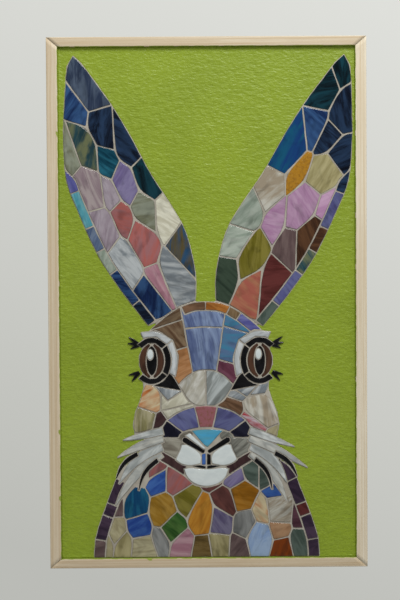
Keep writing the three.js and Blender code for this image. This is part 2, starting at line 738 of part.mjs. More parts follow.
function chestSolid() {
  const line = chestLine.filter(([out]) => out > CHEST_STRIP_START);
  const strip = course(line, sidestep(line, CHEST_STRIP_WIDTH), CHEST_STRIP_COUNT);
  const strips = SIDES.flatMap(([side]) => strip.map((tile) => drawn(tile, side)));
  const pieces = sharedOut(chestOutline, CHEST_TILE_AREA, Math.PI / 2, CHEST_TILE_STRETCH,
    randomFrom(CHEST_SEED));
  return bedded(chestOutline, [strips, pieces]);
}

function groundSolid() {
  const outlines = [...SIDES.map(([side]) => earOutline(side)), chestOutline, headOutline];
  const figure = joined(outlines.map((outline) => slab(offset(outline, FIT), BOARD_FACE, GLASS_FACE)));
  return largest(opening(FIT, GROUND_FACE).subtract(figure).subtract(pockets));
}

// The frame, the board and the hanger

function railSolids() {
  const [halfWidth, inner] = [PANEL_WIDTH / 2, INNER_HALF_WIDTH];
  const topInner = PANEL_HEIGHT - END_RAIL_WIDTH;
  const side = (sign) => [[sign * halfWidth, MITRE_GAP], [sign * inner, END_RAIL_WIDTH + MITRE_GAP],
    [sign * inner, topInner - MITRE_GAP], [sign * halfWidth, PANEL_HEIGHT - MITRE_GAP]];
  const end = (outer, edge) => [[-halfWidth, outer], [halfWidth, outer], [inner, edge], [-inner, edge]];
  return [
    ['frame_rail_left', side(-1)],
    ['frame_rail_right', side(1)],
    ['frame_rail_top', end(PANEL_HEIGHT, topInner)],
    ['frame_rail_bottom', end(0, END_RAIL_WIDTH)],
  ].map(([name, outline]) => meshOf(name, slab(outline, 0, -FRAME_DEPTH), 'pine'));
}

const hangerUp = PANEL_HEIGHT - HANGER_DROP;
const hangerBack = -BOARD_RECESS + FIT;
const screwOut = HANGER_LENGTH / 2 - HANGER_FOOT / 2;
const hangerStripBack = hangerBack + HANGER_STAND_OFF;

function boardSolid() {
  const width = 2 * (INNER_HALF_WIDTH - FIT);
  const height = PANEL_HEIGHT - 2 * (END_RAIL_WIDTH + FIT);
  const board = box([width, BOARD_THICKNESS, height],
    [0, -BOARD_RECESS - BOARD_THICKNESS / 2, PANEL_HEIGHT / 2]);
  const holes = [-1, 1].map((side) => pin(SCREW_RADIUS + FIT, -BOARD_RECESS + FIT,
    -BOARD_RECESS - SCREW_LENGTH - FIT, side * screwOut, hangerUp));
  return board.subtract(joined(holes));
}

function hangerSolid() {
  const steel = HANGER_STEEL;
  const span = HANGER_LENGTH - 2 * HANGER_FOOT;
  const strip = box([span + 2 * steel, steel, HANGER_HEIGHT], [0, hangerStripBack + steel / 2, hangerUp]);
  const feet = [-1, 1].flatMap((side) => [
    box([HANGER_FOOT, steel, HANGER_HEIGHT], [side * screwOut, hangerBack + steel / 2, hangerUp]),
    box([steel, HANGER_STAND_OFF + steel, HANGER_HEIGHT],
      [side * (span / 2 + steel / 2), hangerBack + (HANGER_STAND_OFF + steel) / 2, hangerUp]),
  ]);
  const foot = hangerUp - HANGER_HEIGHT / 2;
  const pitch = (span - 2 * steel) / TOOTH_COUNT;
  const notches = Array.from({ length: TOOTH_COUNT }, (unused, index) => {
    const x = (index - (TOOTH_COUNT - 1) / 2) * pitch;
    return slab([[x - pitch / 2, foot - steel], [x + pitch / 2, foot - steel], [x + pitch / 2, foot],
      [x, foot + TOOTH_DEPTH], [x - pitch / 2, foot]], 0, hangerStripBack - FIT);
  });
  const holes = [-1, 1].map((side) => pin(SCREW_RADIUS + FIT, hangerBack - steel, hangerBack + 2 * steel,
    side * screwOut, hangerUp));
  return joined([strip, ...feet]).subtract(joined([...notches, ...holes]));
}

function screwSolid(side) {
  const seat = hangerBack + HANGER_STEEL + FIT;
  const profile = [[0, 0], [SCREW_HEAD_RADIUS, 0], [SCREW_HEAD_RADIUS, SCREW_HEAD_HEIGHT * SCREW_RIM_SHARE],
    [SCREW_HEAD_RADIUS * SCREW_TOP_SHARE, SCREW_HEAD_HEIGHT], [0, SCREW_HEAD_HEIGHT]];
  const head = new THREE.LatheGeometry(profile.map((point) => new THREE.Vector2(...point)), ROUND_SIDES);
  head.translate(side * screwOut, seat, hangerUp);
  const shank = pin(SCREW_RADIUS, -BOARD_RECESS - SCREW_LENGTH, seat + SCREW_HEAD_HEIGHT / 2,
    side * screwOut, hangerUp);
  return solidOf(head).add(shank);
}

const panel = new THREE.Group();
panel.add(...railSolids());
panel.add(meshOf('backing_board', boardSolid(), 'plywood'));
panel.add(meshOf('green_ground', groundSolid(), 'green_paste'));
panel.add(meshOf('sawtooth_hanger', hangerSolid(), 'steel'));
panel.add(meshOf('hanger_screw_left', screwSolid(-1), 'steel'));
panel.add(meshOf('hanger_screw_right', screwSolid(1), 'steel'));
panel.add(meshOf('left_ear_mosaic', earSolid(-1, LEFT_EAR_SEED), 'grout'));
panel.add(meshOf('right_ear_mosaic', earSolid(1, RIGHT_EAR_SEED), 'grout'));
panel.add(meshOf('head_mosaic', headSolid(), 'grout'));
panel.add(meshOf('chest_mosaic', chestSolid(), 'grout'));
panel.add(...namedMeshes());

// The origin goes to the middle notch of the hanger
const hookUp = hangerUp - HANGER_HEIGHT / 2 + TOOTH_DEPTH;
const hookBack = hangerStripBack + HANGER_STEEL / 2;
panel.position.set(0, -hookBack, -hookUp);

const mosaicPanel = new THREE.Group();
mosaicPanel.add(panel);

export default mosaicPanel;
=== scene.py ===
# The looks of a framed glass mosaic: each piece of glass, the grout, the green paste and the pine frame,
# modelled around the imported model. Metres. The picture faces -Y, +X is to its right and +Z is up.

import json
import math
import random
from collections import defaultdict

import bmesh
import bpy
import numpy as np
from mathutils import Matrix, Vector, geometry, kdtree, noise


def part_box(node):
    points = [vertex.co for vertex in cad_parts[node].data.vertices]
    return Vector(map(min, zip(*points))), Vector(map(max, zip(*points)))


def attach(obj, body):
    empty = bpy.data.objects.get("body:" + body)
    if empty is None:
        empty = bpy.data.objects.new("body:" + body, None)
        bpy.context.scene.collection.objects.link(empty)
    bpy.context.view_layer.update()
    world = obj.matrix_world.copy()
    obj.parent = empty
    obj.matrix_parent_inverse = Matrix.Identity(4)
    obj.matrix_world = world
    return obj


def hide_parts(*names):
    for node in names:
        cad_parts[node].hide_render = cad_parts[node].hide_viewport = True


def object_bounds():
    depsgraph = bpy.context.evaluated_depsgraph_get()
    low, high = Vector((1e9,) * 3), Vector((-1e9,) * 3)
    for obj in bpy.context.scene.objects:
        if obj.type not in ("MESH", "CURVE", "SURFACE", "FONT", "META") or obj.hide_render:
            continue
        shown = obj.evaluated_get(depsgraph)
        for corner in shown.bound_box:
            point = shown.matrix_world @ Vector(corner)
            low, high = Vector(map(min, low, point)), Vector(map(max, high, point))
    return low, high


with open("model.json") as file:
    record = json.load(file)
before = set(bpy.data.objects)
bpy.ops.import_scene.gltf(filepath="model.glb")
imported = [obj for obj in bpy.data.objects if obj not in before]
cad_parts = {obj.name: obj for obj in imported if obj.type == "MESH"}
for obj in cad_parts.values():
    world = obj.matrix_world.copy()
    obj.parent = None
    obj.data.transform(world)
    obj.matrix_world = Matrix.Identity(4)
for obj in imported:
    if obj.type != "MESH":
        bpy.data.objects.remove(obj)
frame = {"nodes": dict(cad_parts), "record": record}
cad_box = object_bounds()

MM = 0.001
NODES = frame["nodes"]
PANEL_LEFT, PANEL_RIGHT = cad_box[0].x, cad_box[1].x
PANEL_FOOT, PANEL_TOP = cad_box[0].z, cad_box[1].z
FRAME_FRONT = cad_box[0].y
FRAME_BACK = cad_box[1].y
GLASS_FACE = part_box("head_mosaic")[0].y
LAYER_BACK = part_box("green_ground")[1].y
GREEN_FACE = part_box("green_ground")[0].y
GROUT_FACE = GLASS_FACE + 1.0 * MM

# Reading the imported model's outlines: how squarely a face looks at the room and how near its depth is, the
# smallest outline and length that count, and the sine of a turn below which an edge runs straight on
ROOM_FACING = -0.9
DEPTH_TOLERANCE = 0.2 * MM
PLACE_DIGITS = 6
ORDER_DIGITS = 4
SPECK = 0.5 * MM * MM
SAME_POINT = 0.06 * MM
NO_LENGTH = 0.02 * MM
STRAIGHT_SINE = 0.02
FAR = 1.0
TINY = 1e-12
MERGE_GAP = 1e-9

# Glass, cut and nipped by hand. A corner that turns less than the sharp turn is part of a curve, and a blunt
# one takes at most its share of an edge. The arris is a list of steps: in from the edge, down from the face,
# and how much its colour is darkened there, by grout haze and by painted shade on its slope; it takes at
# most its share of the room inside the outline.
CORNER = 0.9 * MM
FINE_CORNER = 0.6 * MM
CORNER_SHARE = 0.38
CURVE_SHARES = (0, 0.25, 0.5, 0.75)
SHARP_TURN = math.radians(46)
GLASS_STEP = 1.5 * MM
NIPPING = 0.3 * MM
FINE_NIPPING = 0.1 * MM
NIPPING_WAVE = 8 * MM
ARRIS = ((0, 0.62 * MM, 1.0), (0.1 * MM, 0.26 * MM, 1.0), (0.3 * MM, 0.08 * MM, 0.6), (0.7 * MM, 0, 0.0))
ARRIS_SHARE = 0.42
FACE_GRID = 2.6 * MM
GRID_SHAKE = 0.3
GRID_CLEAR = 0.55
FACE_WAVE = 11 * MM
FACE_WAVE_HEIGHT = 0.08 * MM
TILE_TILT = 0.012
TILE_LIGHTNESS = (0.84, 1.04)
# The chest's tiles are cut darker than the rest: painted shade for the dimmer light towards the panel's foot
CHEST_SHADED_LIGHTNESS = (0.72, 0.94)
NAMED_LIGHTNESS = (0.97, 1.03)
WAVE_SEEDS = 100
SHEET_SHIFTS = 40

# Grout: its grid, its height in a joint, how it runs on under the glass and over the gap between two beds,
# and how its rim falls away round the figure. A slope is depth by distance.
GROUT_GRID = 1.0 * MM
GROUT_REACH = 8 * MM
GROUT_FOOT = 9.3 * MM
GROUT_DROP = 0.42 * MM
JOINT_HALF = 0.7 * MM
JOINT_DIP = 0.16 * MM
GROUT_WAVE = 2.6 * MM
GROUT_ROUGHNESS = 0.08 * MM
GROUT_SEED = 3.0
UNDER_GLASS = 1.1 * MM
UNDER_SLOPE = 1.1
BED_GAP = 0.7 * MM
BED_GAP_INSIDE = 1.5 * MM
GROUT_RIM = 0.5 * MM
RIM_START = 0.45 * MM
RIM_CURVE = 1.5 / MM
GROUT_EDGE = 1.3 * MM
THINNEST = 0.2 * MM
TREE_STEP = 0.4 * MM

# Green paste: lumps drawn out sideways, slower drifts, a fillet at the frame and a lip at the figure, each by
# height and reach, and the lap under the figure's edge
GREEN_GRID = 1.36 * MM
GREEN_FRAME_GAP = 0.05 * MM
GREEN_FULLNESS = 0.1 * MM
GREEN_LUMP = (6.5 * MM, 3.4 * MM)
GREEN_LUMP_HEIGHT = 0.26 * MM
GREEN_LUMP_SEED = 8.0
GREEN_DRIFT = 38 * MM
GREEN_DRIFT_HEIGHT = 0.2 * MM
GREEN_DRIFT_SEED = 21.0
GREEN_FILLET = (0.7 * MM, 1.6 * MM)
GREEN_LIP = (0.35 * MM, 1.2 * MM)
GREEN_LAP = 0.5 * MM
LAP_WAVE = 5 * MM
LAP_VARIES = 0.3 * MM
LAP_SEED = 33.0
LAP_SLOPE = 1.4
GREEN_EDGE = 2.6 * MM
FRACTAL_ROUGHNESS = 0.9
FRACTAL_SPREAD = 2.1


def srgb(red, green, blue):
    """A colour as it looks on a screen, from 0 to 255, as the linear one that shaders use"""
    def linear(value):
        share = value / 255
        return share / 12.92 if share <= 0.04045 else ((share + 0.055) / 1.055) ** 2.4
    return (linear(red), linear(green), linear(blue), 1.0)


# Sheets of glass: the ground colour and the colour of the streaks. All are streaky but for a few.
GLASS = {
    "navy": ((20, 38, 78), (52, 84, 128)),
    "navy_black": ((14, 20, 34), (38, 58, 86)),
    "tip_slate": ((44, 56, 80), (84, 98, 118)),
    "deep_teal": ((10, 54, 72), (38, 100, 120)),
    "black_teal": ((10, 22, 28), (22, 62, 74)),
    "teal_olive": ((38, 72, 82), (112, 118, 86)),
    "slate": ((64, 84, 122), (112, 128, 152)),
    "periwinkle": ((88, 90, 156), (126, 128, 180)),
    "lavender": ((116, 104, 152), (142, 134, 172)),
    "purple": ((81, 81, 130), (103, 108, 150)),
    "lilac_pink": ((170, 128, 164), (190, 156, 184)),
    "mauve": ((140, 122, 130), (172, 160, 160)),
    "mauve_white": ((180, 170, 180), (150, 136, 148)),
    "mauve_brown": ((96, 78, 78), (118, 100, 98)),
    "salmon": ((170, 98, 92), (158, 108, 110)),
    "salmon_brown": ((116, 72, 66), (96, 60, 56)),
    "pink": ((186, 150, 158), (162, 116, 130)),
    "white": ((204, 209, 210), (178, 184, 186)),
    "white_grey": ((192, 198, 200), (128, 136, 142)),
    "white_cream": ((222, 221, 203), (190, 187, 166)),
    "bridge_cream": ((220, 220, 212), (180, 176, 160)),
    "bridge_white": ((194, 202, 202), (136, 142, 140)),
    "white_tan": ((204, 203, 192), (162, 150, 130)),
    "whisker_white": ((206, 211, 209), (156, 162, 161)),
    "whisker_cream": ((198, 199, 191), (160, 164, 161)),
    "cream": ((186, 180, 146), (160, 152, 118)),
    "cream_olive": ((176, 168, 126), (146, 138, 96)),
    "olive_cream": ((136, 132, 88), (172, 166, 134)),
    "sage": ((138, 152, 138), (170, 180, 168)),
    "grey_olive": ((110, 112, 90), (140, 146, 130)),
    "grey": ((118, 120, 118), (150, 152, 150)),
    "greige": ((152, 153, 144), (108, 108, 100)),
    "greige_pale": ((166, 163, 150), (118, 112, 100)),
    "olive": ((104, 98, 28), (132, 124, 56)),
    "brown_olive": ((92, 72, 32), (120, 100, 60)),
    "mustard": ((150, 112, 34), (172, 136, 62)),
    "amber": ((176, 124, 18), (220, 170, 60)),
    "amber_plain": ((150, 98, 18), (176, 124, 46)),
    "amber_pale": ((198, 142, 54), (180, 120, 40)),
    "amber_brown": ((150, 92, 38), (184, 124, 62)),
    "peach": ((190, 142, 100), (168, 118, 74)),
    "tan": ((140, 120, 92), (112, 90, 62)),
    "tan_peach": ((172, 138, 106), (154, 114, 82)),
    "brown": ((90, 66, 48), (120, 92, 70)),
    "brown_dark": ((62, 40, 28), (96, 66, 44)),
    "brown_tan": ((84, 60, 42), (134, 114, 90)),
    "brown_blue": ((94, 84, 54), (48, 82, 114)),
    "brown_orange": ((132, 64, 22), (106, 54, 24)),
    "iris_brown": ((84, 58, 44), (64, 44, 34)),
    "terracotta": ((168, 116, 88), (162, 92, 78)),
    "orange_cream": ((186, 108, 54), (206, 192, 156)),
    "maroon": ((78, 36, 34), (100, 50, 48)),
    "jaw_maroon": ((56, 38, 40), (72, 52, 52)),
    "plum": ((70, 42, 52), (94, 62, 72)),
    "plum_rose": ((96, 52, 68), (118, 74, 90)),
    "dark_purple": ((52, 40, 58), (76, 60, 78)),
    "near_black": ((20, 20, 34), (34, 34, 50)),
    "royal_blue": ((40, 72, 150), (68, 108, 178)),
    "azure_deep": ((18, 70, 112), (34, 104, 138)),
    "azure_grey": ((66, 126, 158), (86, 112, 148)),
    "blue_teal": ((26, 62, 120), (24, 88, 120)),
    "forehead_blue": ((86, 101, 143), (140, 159, 194)),
    "light_blue": ((122, 148, 190), (150, 172, 200)),
    "slate_purple": ((90, 82, 114), (114, 110, 134)),
    "turquoise": ((78, 150, 166), (112, 174, 184)),
    "nose_blue": ((96, 152, 160), (78, 164, 204)),
    "rose": ((158, 96, 104), (182, 124, 130)),
    "red_white": ((164, 38, 42), (196, 196, 204)),
    "green": ((46, 88, 36), (78, 114, 56)),
    "dark_green": ((36, 50, 40), (62, 78, 64)),
    "green_grey": ((66, 80, 72), (92, 106, 98)),
    "black": ((14, 14, 14), (24, 24, 26)),
    "opal": ((217, 225, 224), (209, 218, 218)),
}
OTHER_KINDS = {"amber": "glitter", "rose": "glitter", "black": "solid", "opal": "solid"}

# Which sheets the tiles are cut from, by broad area. An ear is divided in bands from its tip to its base,
# each with an outer, a middle and an inner third; a border tile lies along its outer edge. Where a place has
# several sheets, its tiles take them in turn from its foot upwards.
EAR_THIRD = 11
LEFT_EAR_BANDS = (
    (0.84, "tip_slate", "tip_slate", "navy"),
    (0.76, "navy", "deep_teal", "navy_black"),
    (0.63, "grey_olive teal_olive", "navy_black", "navy_black"),
    (0.54, "sage", "deep_teal", "black_teal"),
    (0.45, "mauve_white mauve", "lavender", "black_teal"),
    (0.33, "mauve_white", "salmon", "white_cream grey_olive"),
    (0.2, "white_grey", "salmon", "brown_blue"),
    (0.1, "white_grey", "pink", "white_grey"),
    (-1, "navy", "pink", "royal_blue"),
)
LEFT_EAR_BORDER = "navy_black navy sage slate turquoise periwinkle"
RIGHT_EAR_BANDS = (
    (0.83, "navy_black", "black_teal", "navy"),
    (0.7, "navy_black", "navy", "deep_teal"),
    (0.6, "navy_black", "terracotta", "blue_teal"),
    (0.5, "cream_olive", "amber", "periwinkle"),
    (0.42, "lilac_pink", "white_tan", "white_tan"),
    (0.3, "brown_dark", "lilac_pink", "sage"),
    (0.2, "mauve_brown", "olive", "sage"),
    (0.09, "maroon", "terracotta", "dark_green"),
    (-1, "maroon", "terracotta", "dark_green"),
)
RIGHT_EAR_BORDER = "green_grey purple teal_olive brown_dark purple navy_black"

# The head and the chest, as boxes in millimetres: out to the right of the figure's centre line and up
# from the panel's lower edge. The first box that a tile's middle lies in gives its glass.
HEAD_AREAS = (
    (-24, 0, 240, 260, "brown"),
    (0, 24, 240, 260, "amber_brown"),
    (24, 33, 234, 260, "tan"),
    (33, 70, 222, 260, "periwinkle"),
    (-60, -14, 205, 260, "brown_tan"),
    (-60, -14, 176, 205, "peach"),
    (-14, 14, 188, 245, "forehead_blue"),
    (14, 60, 205, 245, "azure_grey"),
    (14, 60, 180, 205, "plum_rose"),
    (-24, 0, 156, 188, "bridge_cream"),
    (0, 24, 156, 188, "bridge_white"),
    (-44, -27, 120, 135, "near_black"),
    (27, 44, 120, 135, "near_black"),
    (-42, -24, 145, 153, "white_cream"),
    (-34, -11, 134, 150, "purple"),
    (11, 34, 134, 150, "purple"),
    (-11, 11, 134, 156, "rose"),
    (-60, -42, 150, 180, "orange_cream"),
    (-70, -50, 120, 150, "olive_cream"),
    (-50, -38, 130, 150, "jaw_maroon"),
    (-42, -24, 153, 180, "white_cream white_grey"),
    (24, 34, 146, 158, "brown"),
    (24, 60, 158, 190, "white_grey"),
    (40, 50, 130, 145, "red_white"),
    (50, 60, 140, 158, "white_tan"),
    (50, 72, 120, 140, "cream"),
    (-56, -14, 84, 106, "jaw_maroon"),
    (14, 56, 84, 106, "jaw_maroon"),
    (-50, 0, 100, 134, "greige_pale"),
    (0, 50, 100, 134, "greige"),
)
LEFT_CHEST_BORDER = "mauve_brown dark_purple dark_purple"
RIGHT_CHEST_BORDER = "dark_purple dark_purple maroon dark_purple"
CHEST_AREAS = (
    (-76, -58, 56, 70, "azure_deep"),
    (-110, -72, 0, 54, "cream cream_olive cream"),
    (-72, -52, 0, 50, "cream royal_blue"),
    (-52, -12, 0, 50, "pink grey green"),
    (-12, 22, 0, 38, "brown_olive cream_olive"),
    (-12, 22, 38, 56, "slate_purple amber_pale"),
    (22, 60, 0, 50, "mauve_brown light_blue grey"),
    (60, 110, 0, 60, "brown_orange green_grey tan_peach plum white_tan"),
    (40, 60, 50, 62, "orange_cream"),
    (-56, -36, 50, 72, "mustard"),
    (-36, -8, 50, 74, "olive"),
    (-60, -20, 72, 120, "royal_blue salmon salmon"),
    (-8, 26, 56, 80, "salmon_brown"),
    (20, 34, 80, 120, "lavender"),
    (26, 56, 60, 80, "amber_plain"),
    (34, 60, 80, 120, "green_grey"),
    (56, 82, 60, 84, "royal_blue"),
)

# The pieces with a node of their own: the ends of their nodes' names, by the sheet that they are cut from
NAMED_GLASS = {
    "opal": "glint nose_strip muzzle_pad chin",
    "black": "pupil rim_top rim_side rim_bottom tear_wedge lashes_upper lashes_lower nostril philtrum_right "
             "mouth_line whisker_dark_outer whisker_dark_inner",
    "iris_brown": "iris_outer iris_inner",
    "white": "lid_top lid_side",
    "nose_blue": "nose_tip",
    "royal_blue": "philtrum_left",
    "whisker_white": "whisker_1 whisker_3",
    "whisker_cream": "whisker_2 whisker_4",
}
MOSAICS = ("left_ear_mosaic", "right_ear_mosaic", "head_mosaic", "chest_mosaic")
FIGURE_X = -2 * MM
EAR_BASE = Vector((32, 237))
LEFT_EAR_TIP = Vector((123, 483.5))
RIGHT_EAR_TIP = Vector((131.5, 483.5))
BORDER_TILE = 300 * MM * MM
EAR_BORDER = 6.5 * MM
CHEST_BORDER = 7.5 * MM
CHEST_SIDE = 74
WHISKER_ROOTS = 52 * MM


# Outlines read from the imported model

def outlines_at(node, depth):
    """The closed outlines of a node's faces that look at the room from one depth, as (x, z) arrays"""
    mesh = NODES[node].data
    numbers = {}
    points = []
    number_of = []
    for vertex in mesh.vertices:
        key = tuple(round(value, PLACE_DIGITS) for value in vertex.co)
        if key not in numbers:
            numbers[key] = len(points)
            points.append((vertex.co.x, vertex.co.z))
        number_of.append(numbers[key])
    edges = set()
    for face in mesh.polygons:
        if face.normal.y < ROOM_FACING and abs(face.center.y - depth) < DEPTH_TOLERANCE:
            corners = [number_of[index] for index in face.vertices]
            edges.update(zip(corners, corners[1:] + corners[:1]))
    following = defaultdict(list)
    for start, end in edges:
        if (end, start) not in edges:
            following[start].append(end)
    loops = []
    for start in sorted(following):
        while following[start]:
            loop = [start]
            step = following[start].pop()
            while step != start and following[step]:
                loop.append(step)
                step = following[step].pop()
            outline = np.array([points[index] for index in loop])
            if abs(area(outline)) > SPECK:
                loops.append(outline)
    return loops


def area(outline):
    x, z = outline[:, 0], outline[:, 1]
    return float(np.sum(x * np.roll(z, -1) - np.roll(x, -1) * z)) / 2


def centre(outline):
    """The middle of an outline's area"""
    after = np.roll(outline, -1, axis=0)
    slices = outline[:, 0] * after[:, 1] - after[:, 0] * outline[:, 1]
    return ((outline + after) * slices[:, None]).sum(axis=0) / (3 * slices.sum())


def corners_of(outline):
    """The outline without doubled points and points on a straight edge"""
    kept = []
    count = len(outline)
    for index in range(count):
        point = outline[index]
        before = kept[-1] if kept else outline[index - 1]
        after = outline[(index + 1) % count]
        into, out = point - before, after - point
        lengths = np.hypot(*into) * np.hypot(*out)
        if np.hypot(*into) < SAME_POINT or lengths == 0:
            continue
        if abs(into[0] * out[1] - into[1] * out[0]) / lengths > STRAIGHT_SINE:
            kept.append(point)
    return kept


def inward(points):
    """Unit vectors that point into an anticlockwise outline at each of its points"""
    along = np.roll(points, -1, axis=0) - np.roll(points, 1, axis=0)
    across = np.stack([-along[:, 1], along[:, 0]], axis=1)
    return across / np.maximum(np.linalg.norm(across, axis=1, keepdims=True), TINY)


def hand_cut(outline, corner, nipping, seed):
    """An outline with blunt corners and smooth curves, whose edges wander a little as nipped glass does"""
    sharp = corners_of(outline)
    path = []
    for index, point in enumerate(sharp):
        before, after = sharp[index - 1], sharp[(index + 1) % len(sharp)]
        back, on = before - point, after - point
        lengths = np.hypot(*back), np.hypot(*on)
        turn = math.acos(max(-1, min(1, -float(back @ on) / (lengths[0] * lengths[1]))))
        if turn < SHARP_TURN:
            reaches = [length / 2 for length in lengths]
        else:
            reaches = [min(corner, CORNER_SHARE * length) for length in lengths]
        start = point + back / lengths[0] * reaches[0]
        end = point + on / lengths[1] * reaches[1]
        for share in CURVE_SHARES:
            path.append((1 - share) ** 2 * start + 2 * share * (1 - share) * point + share ** 2 * end)
        if turn >= SHARP_TURN:
            path.append(end)
    fine = []
    for index, point in enumerate(path):
        after = path[(index + 1) % len(path)]
        steps = max(1, round(np.hypot(*(after - point)) / GLASS_STEP))
        fine.extend(point + (after - point) * step / steps for step in range(steps))
    fine = np.array(fine)
    fine = fine[np.hypot(*(fine - np.roll(fine, 1, axis=0)).T) > NO_LENGTH]
    moves = [noise.noise(Vector((x / NIPPING_WAVE, z / NIPPING_WAVE, seed))) for x, z in fine]
    return fine + inward(fine) * np.array(moves)[:, None] * nipping


def room_inside(points, normals):
    """How far each point can go along its normal before it meets the outline again"""
    ends = np.roll(points, -1, axis=0)
    runs = ends - points
    gap = points[None, :, :] - points[:, None, :]
    cross = normals[:, None, 0] * runs[None, :, 1] - normals[:, None, 1] * runs[None, :, 0]
    cross = np.where(np.abs(cross) < TINY, TINY, cross)
    distance = (gap[:, :, 0] * runs[None, :, 1] - gap[:, :, 1] * runs[None, :, 0]) / cross
    share = (gap[:, :, 0] * normals[:, None, 1] - gap[:, :, 1] * normals[:, None, 0]) / cross
    hits = (share >= 0) & (share <= 1) & (distance > NO_LENGTH)
    return np.where(hits, distance, FAR).min(axis=1)


def is_inside(outline, points):
    """For each of many points, whether the outline runs round it"""
    inside = np.zeros(len(points), bool)
    x, z = points[:, 0], points[:, 1]
    for (x0, z0), (x1, z1) in zip(outline, np.roll(outline, -1, axis=0)):
        if z0 == z1:
            continue
        crosses = (z0 > z) != (z1 > z)
        inside ^= crosses & (x < (x1 - x0) * (z - z0) / (z1 - z0) + x0)
    return inside


# Meshes

class Shell:
    """Gathers the points and faces of one piece of glass, or of many, with what their glass looks like"""

    def __init__(self):
        self.points = []
        self.faces = []
        self.kinds = []
        self.values = defaultdict(list)

    def add(self, points, faces, kind, values):
        base = len(self.points)
        self.points.extend(points)
        self.faces.extend(tuple(base + index for index in face) for face in faces)
        self.kinds.extend([kind] * len(faces))
        for name, column in values.items():
            self.values[name].extend(column)

    def piece(self, name):
        kinds = sorted(set(self.kinds))
        materials = [glass_material(kind) for kind in kinds]
        piece = mesh_piece(name, self.points, self.faces, materials, len(self.faces))
        piece.data.polygons.foreach_set("material_index", [kinds.index(kind) for kind in self.kinds])
        for attribute, kind in (("tint_a", "FLOAT_COLOR"), ("tint_b", "FLOAT_COLOR"),
                                ("streak", "FLOAT_VECTOR"), ("rim", "FLOAT")):
            add_attribute(piece, attribute, kind, self.values[attribute])
        return piece


ATTRIBUTE_FIELDS = {"FLOAT_COLOR": "color", "FLOAT_VECTOR": "vector", "FLOAT": "value"}


def add_attribute(piece, name, kind, values):
    layer = piece.data.attributes.new(name, kind, "POINT")
    layer.data.foreach_set(ATTRIBUTE_FIELDS[kind], np.array(values, np.float32).ravel())


def mesh_piece(name, points, faces, materials, smooth_count=0):
    """A piece made of points and faces, the first few of which are shaded smooth"""
    mesh = bpy.data.meshes.new(name)
    mesh.from_pydata(points, [], faces)
    for material in materials:
        mesh.materials.append(material)
    mesh.polygons.foreach_set("use_smooth", [index < smooth_count for index in range(len(faces))])
    mesh.update()
    return placed(name, mesh)


def placed(name, data):
    piece = bpy.data.objects.new(name, data)
    bpy.context.scene.collection.objects.link(piece)
    return piece


def stands_for(piece, slot, node):
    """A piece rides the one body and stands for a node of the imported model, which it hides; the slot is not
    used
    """
    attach(piece, "root")
    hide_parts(node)


def face_points(ring, rng):
    """Points for the inside of a tile's face, on a shaken grid and clear of its edge"""
    low, high = ring.min(axis=0), ring.max(axis=0)
    columns = np.arange(low[0] + FACE_GRID / 2, high[0], FACE_GRID)
    rows = np.arange(low[1] + FACE_GRID / 2, high[1], FACE_GRID)
    if not len(columns) or not len(rows):
        return np.zeros((0, 2))
    grid = np.array([(x + rng.uniform(-GRID_SHAKE, GRID_SHAKE) * FACE_GRID,
                      z + rng.uniform(-GRID_SHAKE, GRID_SHAKE) * FACE_GRID) for z in rows for x in columns])
    grid = grid[is_inside(ring, grid)]
    if not len(grid):
        return grid
    gaps = np.linalg.norm(grid[:, None, :] - ring[None, :, :], axis=2).min(axis=1)
    return grid[gaps > GRID_CLEAR * FACE_GRID]


def face_depth(place, drop, seed, slope, middle):
    """How deep a tile's face lies at a place: a little wavy and tilted, and lower by a drop"""
    wave = noise.noise(Vector((place[0] / FACE_WAVE, place[1] / FACE_WAVE, seed)))
    tilt = float(slope @ (np.array(place) - middle))
    return GLASS_FACE + drop + wave * FACE_WAVE_HEIGHT + tilt


